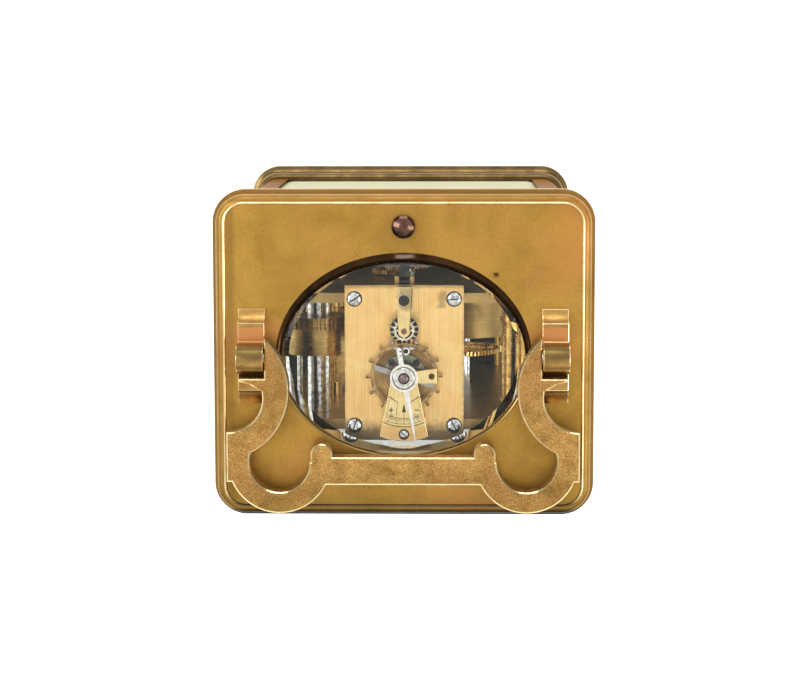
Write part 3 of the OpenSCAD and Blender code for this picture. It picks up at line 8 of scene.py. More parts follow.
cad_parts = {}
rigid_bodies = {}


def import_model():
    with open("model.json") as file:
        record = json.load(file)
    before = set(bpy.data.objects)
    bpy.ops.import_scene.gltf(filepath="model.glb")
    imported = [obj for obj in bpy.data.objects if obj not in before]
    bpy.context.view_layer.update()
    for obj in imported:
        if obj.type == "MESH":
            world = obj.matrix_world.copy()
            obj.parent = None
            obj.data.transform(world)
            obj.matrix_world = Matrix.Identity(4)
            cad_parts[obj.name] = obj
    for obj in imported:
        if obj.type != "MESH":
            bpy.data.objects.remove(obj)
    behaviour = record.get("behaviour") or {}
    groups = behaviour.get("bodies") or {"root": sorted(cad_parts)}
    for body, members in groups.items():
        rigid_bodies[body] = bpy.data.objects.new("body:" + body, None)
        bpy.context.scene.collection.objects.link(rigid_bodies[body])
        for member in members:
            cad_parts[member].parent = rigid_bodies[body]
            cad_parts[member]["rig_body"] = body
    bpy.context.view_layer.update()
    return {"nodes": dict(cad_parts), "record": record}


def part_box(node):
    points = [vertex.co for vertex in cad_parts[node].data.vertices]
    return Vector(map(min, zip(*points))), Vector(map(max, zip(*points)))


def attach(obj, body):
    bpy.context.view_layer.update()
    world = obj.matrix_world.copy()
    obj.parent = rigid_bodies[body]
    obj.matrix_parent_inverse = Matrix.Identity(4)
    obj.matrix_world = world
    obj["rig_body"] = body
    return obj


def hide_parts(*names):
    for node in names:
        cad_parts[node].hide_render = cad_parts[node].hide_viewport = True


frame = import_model()

MM = 0.001
GRAIN_RELIEF = 0.06 * MM
BRUSH_RELIEF = 0.03 * MM
GLASS_RELIEF = 0.2 * MM
MERGE_DISTANCE = 0.002 * MM
WHITE = (1.0, 1.0, 1.0, 1.0)
scene = bpy.context.scene


def srgb(r, g, b):
    """A colour as a picture shows it, 0 to 255, turned to linear light."""
    linear = []
    for v in (r, g, b):
        v /= 255
        linear.append(v / 12.92 if v <= 0.04045 else ((v + 0.055) / 1.055) ** 2.4)
    return (*linear, 1.0)


def set_or_link(tree, socket, value):
    """Give a socket a constant, or the output of another node."""
    if isinstance(value, (int, float, tuple)):
        socket.default_value = value
    else:
        tree.links.new(value, socket)


class Nodes:
    """A material and a short way to add nodes to it."""

    def __init__(self, name):
        self.mat = bpy.data.materials.new(name)
        self.mat.use_nodes = True
        self.tree = self.mat.node_tree
        self.tree.nodes.clear()
        self.out = self.add("ShaderNodeOutputMaterial")
        self.coord = self.add("ShaderNodeTexCoord")

    def add(self, kind, **values):
        node = self.tree.nodes.new(kind)
        for key, value in values.items():
            setattr(node, key, value)
        return node

    def link(self, a, b):
        self.tree.links.new(a, b)

    def stretched(self, scale):
        """The object's own coordinates, scaled for each axis."""
        m = self.add("ShaderNodeMapping")
        m.inputs["Scale"].default_value = scale
        self.link(self.coord.outputs["Object"], m.inputs["Vector"])
        return m.outputs["Vector"]

    def noise(self, scale, detail, rough, stretch=None, distortion=0.0):
        n = self.add("ShaderNodeTexNoise")
        n.inputs["Scale"].default_value = scale
        n.inputs["Detail"].default_value = detail
        n.inputs["Roughness"].default_value = rough
        n.inputs["Distortion"].default_value = distortion
        source = self.stretched(stretch) if stretch else self.coord.outputs["Object"]
        self.link(source, n.inputs["Vector"])
        return n.outputs["Fac"]

    def ramp(self, value, stops):
        """A colour ramp from (position, colour or grey level) pairs."""
        r = self.add("ShaderNodeValToRGB")
        e = r.color_ramp.elements
        while len(e) < len(stops):
            e.new(0.5)
        for i, (at, c) in enumerate(stops):
            e[i].position = at
            e[i].color = c if isinstance(c, tuple) else (c, c, c, 1)
        self.link(value, r.inputs["Fac"])
        return r.outputs["Color"]

    def mix(self, fac, a, b, kind="MIX"):
        m = self.add("ShaderNodeMix", data_type="RGBA", blend_type=kind)
        factor, colour_a, colour_b, colour_out = m.inputs[0], m.inputs[6], m.inputs[7], m.outputs[2]
        for socket, v in ((factor, fac), (colour_a, a), (colour_b, b)):
            set_or_link(self.tree, socket, v)
        return colour_out

    def axis(self, name):
        """One coordinate in the object's own frame."""
        split = self.add("ShaderNodeSeparateXYZ")
        self.link(self.coord.outputs["Object"], split.inputs[0])
        return split.outputs[name]

    def math(self, kind, a, b, clamp=False):
        m = self.add("ShaderNodeMath", operation=kind, use_clamp=clamp)
        for socket, v in zip(m.inputs, (a, b)):
            set_or_link(self.tree, socket, v)
        return m.outputs[0]

    def zone(self, limits, soft, broken):
        """1 inside a box in millimetres, fading over a soft edge that noise can break up."""
        wave = self.noise(700, 3, 0.6) if broken else None
        result = None
        for axis, (low, high) in zip("XYZ", limits):
            if low is None and high is None:
                continue
            value = self.axis(axis)
            if wave is not None:
                shift = self.math("MULTIPLY", self.math("SUBTRACT", wave, 0.5), broken * MM)
                value = self.math("ADD", value, shift)
            for limit, side in ((low, 1), (high, -1)):
                if limit is None:
                    continue
                past = self.math("SUBTRACT", value, limit * MM)
                part = self.math("MULTIPLY", past, side / (soft * MM))
                part = self.math("ADD", part, 0.5, clamp=True)
                result = part if result is None else self.math("MULTIPLY", result, part)
        return result

    def bump(self, height, strength, distance, onward=None):
        b = self.add("ShaderNodeBump")
        b.inputs["Strength"].default_value = strength
        b.inputs["Distance"].default_value = distance
        self.link(height, b.inputs["Height"])
        if onward is not None:
            self.link(onward, b.inputs["Normal"])
        return b.outputs["Normal"]

    def principled(self, **values):
        p = self.add("ShaderNodeBsdfPrincipled")
        for key, v in values.items():
            set_or_link(self.tree, p.inputs[key.replace("_", " ")], v)
        return p

    def largest(self, *values):
        """The largest of several values, such as the ray kinds of a light path."""
        result = values[0]
        for value in values[1:]:
            result = self.math("MAXIMUM", result, value)
        return result

    def done(self, shader):
        self.link(shader.outputs[0], self.out.inputs["Surface"])
        return self.mat


def metal(name, light, dark, rough, cloud, grain, grain_colour, brush=None, brush_depth=0.25,
          specks=0.0, speck_colour=(90, 62, 26), speck_size=1500, tint=None, zones=(),
          edge_tint=(1.0, 1.0, 1.0)):
    """Metal with clouded colour, grain or brushing, dark specks, a patchy tint, and zones that lay
    on a stain, painted shade or a painted highlight.

    rough: roughness of the lighter and the darker clouds
    grain: its fineness and its strength in relief; grain_colour: how much it darkens
    brush: fineness of the brushing along each axis
    zones: (limits on x, y and z in millimetres, colour laid on as a stain, painted shade or painted
    highlight, share, soft edge, how ragged the edge is)
    edge_tint: what the metal returns at a grazing angle
    """
    n = Nodes(name)
    cloudy = n.noise(cloud, 4, 0.6, distortion=0.4)
    colour = n.ramp(cloudy, [(0.3, srgb(*dark)), (0.62, srgb(*light))])
    if tint:
        patch = n.ramp(n.noise(cloud * 0.35, 2, 0.5), [(0.5, 0.0), (0.66, 0.6)])
        colour = n.mix(patch, colour, srgb(*tint))
    fine = n.noise(grain[0], 2, 0.6)
    shade = n.ramp(fine, [(0.3, 1 - grain_colour), (0.7, 1.0)])
    colour = n.mix(1.0, colour, shade, "MULTIPLY")
    normal = n.bump(fine, grain[1], GRAIN_RELIEF)
    rough_from = cloudy
    if brush:
        streak = n.noise(1.0, 3, 0.6, stretch=brush)
        lines = n.ramp(streak, [(0.32, 1 - brush_depth), (0.66, 1.0)])
        colour = n.mix(1.0, colour, lines, "MULTIPLY")
        normal = n.bump(streak, 0.25, BRUSH_RELIEF, normal)
        rough_from = streak
    if specks:
        spots = n.noise(speck_size, 2, 0.6)
        onset = 0.72 - 0.1 * specks
        dots = n.ramp(spots, [(onset, 0.0), (onset + 0.05, 0.8)])
        colour = n.mix(dots, colour, srgb(*speck_colour))
    for limits, stain_and_painted_light, amount, soft, broken in zones:
        mask = n.math("MULTIPLY", n.zone(limits, soft, broken), amount)
        colour = n.mix(mask, colour, srgb(*stain_and_painted_light))
    roughness = n.ramp(rough_from, [(0.3, rough[1]), (0.7, rough[0])])
    return n.done(n.principled(Base_Color=colour, Metallic=1.0, Roughness=roughness, Normal=normal,
                               Specular_Tint=(*edge_tint, 1.0)))


def polished(name, light, dark, rough, cloud=400):
    """Bright metal, a little clouded."""
    n = Nodes(name)
    colour = n.ramp(n.noise(cloud, 3, 0.6), [(0.3, srgb(*dark)), (0.6, srgb(*light))])
    roughness = n.ramp(n.noise(1500, 2, 0.5), [(0.3, rough), (0.7, rough + 0.1)])
    return n.done(n.principled(Base_Color=colour, Metallic=1.0, Roughness=roughness))


def blend(tree, share, first, second):
    """Two shaders mixed by a share that another node gives."""
    m = tree.nodes.new("ShaderNodeMixShader")
    tree.links.new(share, m.inputs[0])
    tree.links.new(first.outputs[0], m.inputs[1])
    tree.links.new(second.outputs[0], m.inputs[2])
    return m


def glass(name, tint=(1.0, 1.0, 1.0), dust=None):
    """Clear glass with a faint wave that lets the lamps through.

    dust: colour of a film that shows at a grazing angle
    """
    n = Nodes(name)
    normal = n.bump(n.noise(60, 1, 0.4), 0.02, GLASS_RELIEF)
    body = n.principled(Base_Color=(*tint, 1.0), Roughness=0.0, IOR=1.5, Transmission_Weight=1.0,
                        Specular_Tint=(0.4, 0.42, 0.4, 1.0), Normal=normal)
    clear = n.add("ShaderNodeBsdfTransparent")
    clear.inputs["Color"].default_value = (0.93, 0.95, 0.93, 1)
    path = n.add("ShaderNodeLightPath")
    pane = blend(n.tree, path.outputs["Is Shadow Ray"], body, clear)
    if not dust:
        return n.done(pane)
    film = n.add("ShaderNodeBsdfDiffuse")
    film.inputs["Color"].default_value = (*dust, 1.0)
    facing = n.add("ShaderNodeLayerWeight")
    facing.inputs["Blend"].default_value = 0.5
    grazing = n.ramp(facing.outputs["Facing"], [(0.86, 0.0), (0.95, 0.75)])
    return n.done(blend(n.tree, grazing, pane, film))


def glazed(name, light, dark, rough, cloud=150, coat=0.0):
    """Enamel, blacking or jewel: smooth, without metal."""
    n = Nodes(name)
    colour = n.ramp(n.noise(cloud, 4, 0.6), [(0.3, srgb(*dark)), (0.7, srgb(*light))])
    roughness = n.ramp(n.noise(1200, 2, 0.5), [(0.3, rough), (0.7, rough + 0.08)])
    return n.done(n.principled(Base_Color=colour, Metallic=0.0, Roughness=roughness,
                               Coat_Weight=coat))


# Looks by key, and below them the nodes that wear each one
ANY = (None, None)
# Dark brown painted as shade inside the base
PAINTED_INSIDE_SHADE = (46, 38, 24)
M = {
    "case": metal("aged_case_brass", (192, 150, 71), (162, 125, 57), (0.36, 0.52), 80,
                  (1500, 0.15), 0.16, specks=0.25, tint=(200, 142, 80), zones=(
                      # Painted shade: the frame's inside under the panel, near black
                      (((-37.2, 37.2), (-30.7, 30.7), (100, 129.6)), (30, 26, 18), 1.0, 0.3, 0.0),
                      # Painted shade: the outer sides of the frame, darker where they face the dim
                      # horizon
                      (((43.6, None), ANY, (118, None)), (132, 102, 56), 0.62, 0.5, 0.4),
                      (((None, -43.6), ANY, (118, None)), (132, 102, 56), 0.5, 0.5, 0.4),
                      ((ANY, (None, -37.2), (118, None)), (136, 104, 56), 0.55, 0.5, 0.4),
                      # Painted shadow: a brown band on the panel just inside the bead on one side
                      (((40.9, 43.3), (-36, 36), (131, None)), (110, 80, 38), 0.4, 1.2, 1.5),
                      # Painted shade: the rear of the panel darker, and its rear border near black
                      ((ANY, (34.5, None), (120, None)), (120, 92, 44), 0.5, 4.0, 2.0),
                      ((ANY, (37.9, None), (126.4, None)), (28, 18, 8), 0.95, 0.9, 0.4),
                      (((-47, -36), (-38, -20), (131, None)), (206, 136, 74), 0.5, 9.0, 6.0),
                      (((28.5, 41), (-8, 2), (131, None)), (196, 128, 84), 0.55, 4.0, 5.0),
                      (((-41, -28.5), (-8, 4), (131, None)), (196, 128, 84), 0.45, 4.0, 5.0),
                      (((-23.0, -21.7), (-20.2, -19.2), (131, None)), (40, 26, 12), 0.9, 0.7, 0.8),
                      (((-6.5, 6.5), (-37, -26), (131, None)), (140, 104, 46), 0.5, 5.0, 3.0))),
    # Base and door brass: an aged tone, also darkened as painted shade of the low base
    "moulding": metal("shade_darkened_moulding_brass", (128, 104, 64), (88, 70, 40), (0.24, 0.38), 160,
                      (1500, 0.1), 0.14, specks=0.3, zones=(
                          # Painted shade: the inside of the base, dark brown
                          (((-37.4, 37.4), (-30.9, 30.9), (13.6, 60)), PAINTED_INSIDE_SHADE, 1.0, 0.3, 0.0),)),
    "pillar": metal("pillar_brass", (186, 146, 86), (148, 114, 64), (0.26, 0.4), 160,
                    (1500, 0.1), 0.12, tint=(196, 146, 100), edge_tint=(0.3, 0.2, 0.13)),
    "handle": metal("grained_handle_brass", (218, 172, 98), (166, 126, 66), (0.42, 0.56), 210,
                    (2300, 0.9), 0.52, specks=1.0, speck_colour=(100, 70, 28), speck_size=2700,
                    tint=(214, 158, 98), zones=(
                        ((ANY, (28.5, None), ANY), (112, 82, 40), 0.3, 5.0, 6.0),
                        (((26, None), (-6, 16), ANY), (140, 106, 58), 0.35, 6.0, 4.0),
                        (((None, -26), (-6, 16), ANY), (140, 106, 58), 0.25, 6.0, 4.0))),
    "edge": polished("polished_edge", (255, 234, 184), (240, 204, 140), 0.14),
    "bead": metal("worn_bead", (255, 232, 178), (232, 196, 134), (0.14, 0.24), 160,
                  (1500, 0.05), 0.06, zones=(
                      # Painted shade: the rear of the bead, dark
                      ((ANY, (35.2, None), ANY), (84, 62, 28), 0.9, 2.5, 1.0),
                      (((None, -42), (-10, 30), ANY), (206, 160, 96), 0.5, 6.0, 2.0),
                      (((42, None), (-10, 30), ANY), (216, 172, 108), 0.5, 6.0, 2.0))),
    "bracket": metal("bracket_brass", (200, 158, 92), (164, 126, 68), (0.26, 0.4), 200,
                     (2000, 0.3), 0.24, specks=0.4, speck_size=1800, zones=(
                         # Painted reflection: warm orange on the front shoulder
                         ((ANY, (-7.1, -3.7), (134, None)), (214, 142, 86), 0.75, 0.5, 0.6),
                         # Painted shade: the front half of the pivot barrel, darker
                         ((ANY, (-3.7, 0.2), (136, None)), (92, 80, 50), 0.75, 1.6, 1.2),
                         # Painted shadow: near black in the gap behind the barrel
                         ((ANY, (3.4, 5.6), (131, 137)), (24, 16, 8), 0.9, 0.6, 0.4))),
    "pale": metal("brushed_pale_brass", (255, 218, 146), (244, 196, 122), (0.26, 0.4), 110,
                  (2500, 0.05), 0.06, brush=(4200, 60, 60), brush_depth=0.2, zones=(
                      # Painted shade: the rear of the platform, dark
                      ((ANY, (19.0, None), ANY), (92, 80, 62), 0.85, 3.2, 4.0),
                      ((ANY, (None, -15.4), ANY), (120, 98, 62), 0.6, 0.8, 0.6),
                      (((None, -14.6), ANY, ANY), (128, 104, 66), 0.6, 0.8, 1.6),
                      (((14.6, None), ANY, ANY), (128, 104, 66), 0.5, 0.8, 1.6),
                      (((-10.2, -8.6), (-14.4, -10.4), ANY), (120, 104, 74), 0.55, 0.8, 3.0),
                      (((-3.4, 3.4), (-8.4, -1.2), ANY), (96, 88, 66), 0.7, 2.0, 2.0))),
    "sink": metal("sunk_brass", (204, 164, 104), (150, 118, 72), (0.3, 0.42), 300,
                  (2600, 0.2), 0.2, zones=(
                      # Painted shade: the front part of the sink under the balance, darker
                      ((ANY, (None, 3), ANY), (112, 92, 58), 0.55, 5.0, 2.0),)),
    "plate": metal("plate_brass", (206, 172, 110), (166, 134, 80), (0.26, 0.4), 110,
                   (2000, 0.08), 0.1, brush=(90, 60, 3600), brush_depth=0.2, specks=0.2),
    # Mask and dial posts: brass painted dark as shade behind the dial
    "mask": metal("shade_darkened_mask_brass", (60, 56, 42), (34, 32, 26), (0.4, 0.5), 110,
                  (2000, 0.08), 0.1),
    "cock": metal("cock_brass", (246, 225, 162), (236, 200, 130), (0.2, 0.34), 260,
                  (2600, 0.05), 0.06, brush=(3600, 260, 60), brush_depth=0.14, zones=(
                      ((ANY, (-1.2, 5.2), (None, 122)), (128, 130, 106), 1.0, 0.3, 0.0),
                      # Far tier: its own more orange tone, also darkened as painted shade
                      ((ANY, (18.3, None), (None, 124.8)), (220, 170, 104), 0.6, 0.2, 0.0),
                      (((-4.2, 1.2), (-15.9, -10.2), ANY), (96, 88, 66), 0.55, 1.2, 2.4))),
    "wheel": polished("wheel_brass", (210, 172, 100), (160, 124, 66), 0.2, 600),
    "white_wheel": polished("bright_wheel", (250, 240, 212), (150, 140, 116), 0.12, 2200),
    "drum": metal("drum_brass", (190, 156, 92), (104, 84, 48), (0.22, 0.36), 90, (1800, 0.1), 0.12,
                  brush=(70, 2600, 70), specks=0.3),
    "old_drum": metal("old_drum_brass", (160, 130, 78), (130, 104, 62), (0.4, 0.55), 150,
                      (1800, 0.1), 0.1, brush=(70, 2600, 70), brush_depth=0.15),
    "rim": metal("balance_brass", (196, 160, 104), (96, 78, 50), (0.2, 0.32), 700,
                 (2600, 0.1), 0.1, zones=(
                     (((-7.2, 7.2), (3.2, 9.4), ANY), (170, 172, 168), 0.9, 0.6, 0.0),)),
    "steel": polished("steel", (214, 214, 212), (128, 130, 132), 0.14, 900),
    "white_steel": polished("polished_steel", (255, 252, 244), (226, 224, 216), 0.12, 700),
    "cap_steel": polished("cap_steel", (236, 234, 226), (176, 174, 164), 0.16, 1100),
    "screw": polished("screw_steel", (226, 226, 226), (120, 122, 124), 0.12, 1300),
    "dark_steel": metal("oiled_steel", (70, 70, 66), (34, 36, 36), (0.24, 0.36), 500,
                        (2400, 0.2), 0.2),
    "blued": polished("blued_steel", (52, 60, 100), (20, 24, 44), 0.2, 500),
    "button": polished("coppered_steel", (112, 82, 68), (38, 28, 24), 0.1, 300),
    # Lip: dark brass standing in for shade and dark reflection
    "lip": metal("lip_brass_painted_with_shade", (72, 50, 30), (34, 24, 16), (0.16, 0.26), 120,
                 (1500, 0.1), 0.14, zones=(
                     # The lip's rear, lighter brass, out of the painted shade
                     ((ANY, (6, None), ANY), (186, 154, 92), 0.8, 10.0, 4.0),
                     # Painted highlight: a pale streak at the front centre
                     (((-2.4, 1.8), (-24.2, -24.0), ANY), (236, 222, 204), 0.75, 1.1, 0.5))),
    "glass": glass("bevelled_glass"),
    "side_glass": glass("side_glass", (0.95, 0.99, 0.95), dust=(0.86, 0.86, 0.6)),
    "enamel": glazed("white_enamel", (246, 243, 234), (236, 231, 218), 0.12, coat=0.4),
    "black": glazed("black_enamel", (26, 24, 26), (12, 12, 14), 0.25),
    "engraving": glazed("blackened_engraving", (50, 38, 18), (28, 20, 10), 0.5, cloud=2000),
    "ruby": glazed("ruby", (132, 92, 96), (52, 32, 36), 0.05, cloud=1800, coat=1.0),
}

NODE_LOOKS = {
    "case": ["top_frame"],
    "moulding": ["base_moulding", "door_frame", "door_knob"],
    "pillar": ["pillar_front_left", "pillar_front_right", "pillar_rear_left", "pillar_rear_right"],
    "handle": ["handle"],
    "bracket": ["handle_bracket_left", "handle_bracket_right"],
    "glass": ["top_glass"],
    "side_glass": ["front_glass", "left_glass", "right_glass", "door_glass"],
    "enamel": ["dial"],
    "plate": ["front_plate", "rear_plate", "gong_block"],
    "mask": ["dial_mask", "dial_posts"],
    "pale": ["platform"],
    "cock": ["balance_cock", "escape_cocks"],
    "wheel": ["intermediate_wheel", "centre_wheel", "third_wheel", "contrate_wheel",
              "strike_second_wheel", "pin_wheel", "fly", "minute_wheel", "hour_wheel",
              "movement_pillars"],
    "white_wheel": ["escape_wheel"],
    "drum": ["alarm_barrel"],
    "old_drum": ["going_barrel", "strike_barrel"],
    "rim": ["balance"],
    "steel": ["going_arbor", "strike_arbor", "alarm_arbor", "going_click", "strike_click",
              "mainsprings", "hammer", "pallet_lever", "repeat_spring", "cannon_pinion",
              "handle_pivot_screws", "base_screws"],
    "white_steel": ["regulator"],
    "dark_steel": ["repeat_lever"],
    "screw": ["platform_screws"],
    "blued": ["minute_hand", "hour_hand", "gong", "hairspring"],
    "button": ["repeat_button"],
}
for look, names in NODE_LOOKS.items():
    for name in names:
        node = frame["nodes"][name]
        node.data.materials.clear()
        node.data.materials.append(M[look])


def body_of(name):
    """The body that a node rides on."""
    return frame["nodes"][name]["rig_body"]


def from_bmesh(name, bm, materials, body, smooth=False):
    """A visible piece of its own that rides on a body."""
    mesh = bpy.data.meshes.new(name)
    bmesh.ops.recalc_face_normals(bm, faces=bm.faces)
    bm.to_mesh(mesh)
    bm.free()
    for m in materials:
        mesh.materials.append(m)
    if smooth:
        mesh.shade_smooth()
    obj = bpy.data.objects.new(name, mesh)
    scene.collection.objects.link(obj)
    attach(obj, body)
    return obj


def own_form(node):
    """The node's own mesh, ready to be worked on."""
    bm = bmesh.new()
    bm.from_mesh(frame["nodes"][node].data)
    bmesh.ops.remove_doubles(bm, verts=bm.verts, dist=MERGE_DISTANCE)
    return bm


def in_place_of(node, bm, looks):
    """A piece that shows instead of a node."""
    piece = from_bmesh(node + "_dressed", bm, [M[look] for look in looks], body_of(node))
    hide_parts(node)


def dressed(node, width, looks):
    """The node's own form with its edges eased to a polished line, in place of the sharp solid."""
    flat_angle, sharp_angle = math.radians(1), math.radians(32)
    bm = own_form(node)
    bmesh.ops.dissolve_limit(bm, angle_limit=flat_angle, verts=bm.verts, edges=bm.edges)
    sharp = [e for e in bm.edges
             if len(e.link_faces) == 2 and e.calc_face_angle(0) > sharp_angle]
    bmesh.ops.bevel(bm, geom=sharp, offset=width * MM, offset_type="OFFSET", segments=2,
                    profile=0.6, affect="EDGES", clamp_overlap=True, material=1)
    in_place_of(node, bm, looks)


def chamfered(node, width, drop, looks):
    """The node's own form with an even polished chamfer round its flat top."""
    level_normal, level_depth, least_mitre = 0.999, 0.01 * MM, 0.6
    bm = own_form(node)
    crown = max(v.co.z for v in bm.verts)
    flat = [f for f in bm.faces
            if f.normal.z > level_normal and f.calc_center_median().z > crown - level_depth]
    top_faces = set(flat)
    onward = {}
    for f in flat:
        for corner in f.loops:
            if sum(g in top_faces for g in corner.edge.link_faces) == 1:
                onward[corner.vert] = corner.link_loop_next.vert
    corners = [list(f.verts) for f in flat]
    bmesh.ops.delete(bm, geom=flat, context="FACES_ONLY")
    inset = {}
    while onward:
        vert = next(iter(onward))
        ring = []
        while vert in onward:
            ring.append(vert)
            vert = onward.pop(vert)
        inner = []
        for i, v in enumerate(ring):
            before = (v.co - ring[i - 1].co).to_2d().normalized()
            after = (ring[(i + 1) % len(ring)].co - v.co).to_2d().normalized()
            left = Vector((-before.y - after.y, before.x + after.x)).normalized()
            reach = width * MM / max(least_mitre, left.dot(Vector((-after.y, after.x))))
            place = (v.co.x + left.x * reach, v.co.y + left.y * reach, crown)
            inset[v] = bm.verts.new(place)
            inner.append(inset[v])
        for i in range(len(ring)):
            j = (i + 1) % len(ring)
            bm.faces.new((ring[i], ring[j], inner[j], inner[i])).material_index = 1
        for v in ring:
            v.co.z -= drop * MM
    for three in corners:
        bm.faces.new([inset[v] for v in three])
    loose = [e for e in bm.edges if not e.link_faces]
    bmesh.ops.delete(bm, geom=loose, context="EDGES")
    in_place_of(node, bm, looks)


chamfered("handle", 0.34, 0.3, ("handle", "edge"))
dressed("handle_bracket_left", 0.22, ("bracket", "edge"))
dressed("handle_bracket_right", 0.22, ("bracket", "edge"))
dressed("platform", 0.12, ("pale", "edge"))
dressed("regulator", 0.08, ("white_steel", "steel"))
dressed("balance_cock", 0.08, ("cock", "edge"))


def prism(bm, near, far):
    """A straight-sided piece between two rings of vertices."""
    bm.faces.new(near)
    bm.faces.new(far)
    for i in range(len(near)):
        j = (i + 1) % len(near)
        bm.faces.new((near[i], near[j], far[j], far[i]))


def plate(bm, outline, z0, z1):
    """A flat piece of an outline in millimetres, between two heights."""
    prism(bm, [bm.verts.new((x * MM, y * MM, z0 * MM)) for x, y in outline],
          [bm.verts.new((x * MM, y * MM, z1 * MM)) for x, y in outline])


def stroke(bm, points, width, z0, z1):
    """A line of even width through points in millimetres."""
    for a, b in zip(points, points[1:]):
        d = Vector((b[0] - a[0], b[1] - a[1]))
        n = Vector((-d.y, d.x)).normalized() * width / 2
        plate(bm, [(a[0] + n.x, a[1] + n.y), (b[0] + n.x, b[1] + n.y),
                   (b[0] - n.x, b[1] - n.y), (a[0] - n.x, a[1] - n.y)], z0, z1)


def polar(at, r, degrees):
    """The point at a radius and angle about a centre."""
    a = math.radians(degrees)
    return at[0] + r * math.cos(a), at[1] + r * math.sin(a)


def arc(at, r, a0, a1, steps):
    """Points along an arc about a centre, from one angle to another."""
    return [polar(at, r, a0 + (a1 - a0) * i / steps) for i in range(steps + 1)]


def lathe(bm, at, profile, steps, index=0):
    """A turned form about an upright axis: profile is (radius, height) pairs in millimetres."""
    rings = []
    for r, z in profile:
        plan = [at] if r == 0 else [polar(at, r, 360 * i / steps) for i in range(steps)]
        rings.append([bm.verts.new((x * MM, y * MM, z * MM)) for x, y in plan])
    for lower, upper in zip(rings, rings[1:]):
        for i in range(steps):
            j = (i + 1) % steps
            if len(lower) == 1:
                f = bm.faces.new((lower[0], upper[i], upper[j]))
            elif len(upper) == 1:
                f = bm.faces.new((lower[i], lower[j], upper[0]))
            else:
                f = bm.faces.new((lower[i], lower[j], upper[j], upper[i]))
            f.material_index = index


def circle_line(bm, at, radius, width, z0, z1, a0=0, a1=360, steps=96):
    """A ring, or part of one, of even width."""
    stroke(bm, arc(at, radius, a0, a1, steps), width, z0, z1)


def screw_head(bm, at, r, z, turn, height, slot=0.32):
    """A slotted, domed screw head in a dark sunk ring: two halves with the slot between them."""
    ring, ring_top = r + 0.28, z + 0.03
    lathe(bm, at, [(ring, z), (ring, ring_top), (0, ring_top)], 48, 1)
    for side in (0, 180):
        rings = []
        for rho, level in ((r, z + 0.02), (r, z + height * 0.6), (r * 0.9, z + height * 0.84),
                           (r * 0.62, z + height)):
            start = math.degrees(math.asin(slot / 2 / rho))
            half_turn = arc(at, rho, turn + side + start, turn + side + 180 - start, 20)
            rings.append([bm.verts.new((x * MM, y * MM, level * MM)) for x, y in half_turn])
        for lower, upper in zip(rings, rings[1:]):
            for i in range(len(lower)):
                j = (i + 1) % len(lower)
                bm.faces.new((lower[i], lower[j], upper[j], upper[i]))
        bm.faces.new(rings[0])
        bm.faces.new(rings[-1])


# Where the pieces that carry the fine detail stand, in millimetres
escape_low, escape_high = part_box("escape_wheel")
escape_at = tuple((escape_low + escape_high) / 2 / MM)[:2]
platform_face = (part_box("platform")[1] / MM).z
pallet_face = platform_face + 1.95
pallet_post_top = pallet_face + 0.1
regulator_low, regulator_high = (corner.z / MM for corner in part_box("regulator"))
cock_top = regulator_low
cap_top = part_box("balance_cock")[1].z / MM
escape_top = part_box("escape_cocks")[1].z / MM
joints = frame["record"]["behaviour"]["joints"]
balance_joint = next(j for j in joints if j["name"] == "balance_swing")
balance_at = tuple(v / MM for v in balance_joint["pos_m"][:2])
dial_low, dial_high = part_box("dial")
dial_at = (0.0, (dial_low.z + dial_high.z) / 2 / MM)
dial_face = dial_low.y / MM
inlay = 0.02

# The balance's end cap: a dark seam, a polished disc, a dark ring and a domed jewel
bm = bmesh.new()
cap_edge, disc_edge, ring_edge, jewel_edge = 2.79, 2.6, 1.36, 1.08
lathe(bm, balance_at, [(cap_edge, cap_top), (cap_edge, cap_top + inlay),
                       (disc_edge, cap_top + inlay)], 64, 1)
lathe(bm, balance_at, [(disc_edge + 0.02, cap_top + 0.01), (disc_edge, cap_top + 0.14),
                       (disc_edge - 0.14, cap_top + 0.22), (ring_edge + 0.06, cap_top + 0.24),
                       (ring_edge - 0.02, cap_top + 0.1)], 64, 0)
lathe(bm, balance_at, [(ring_edge, cap_top + 0.03), (ring_edge - 0.02, cap_top + 0.12),
                       (jewel_edge + 0.02, cap_top + 0.14), (jewel_edge - 0.04, cap_top + 0.06)],
      64, 3)
lathe(bm, balance_at, [(jewel_edge, cap_top + 0.04), (jewel_edge - 0.1, cap_top + 0.2),
                       (0.6, cap_top + 0.32), (0.0, cap_top + 0.36)], 48, 2)
from_bmesh("balance_end_cap", bm, [M["cap_steel"], M["black"], M["ruby"], M["dark_steel"]],
           body_of("balance_cock"))

# Engraving on the cock: border lines, scale, arrow, oblique lines, plus and minus, and a dark line
# painted as the shade of the tier's step
bm = bmesh.new()
z0, z1 = cock_top - inlay, cock_top + 0.03
bx, by = balance_at
scale_inner, scale_outer, tier_step_shade_line = 10.0, 11.45, 12.1
tick_pitch, ticks_each_side = 1.4, 14
long_tick, middle_tick, short_tick = 11.4, 11.0, 10.6
fine, medium, bold, heavy = 0.09, 0.12, 0.2, 0.26
circle_line(bm, balance_at, scale_inner, fine, z0, z1, 69, 111, 20)
circle_line(bm, balance_at, scale_outer, medium, z0, z1, 68, 112, 20)
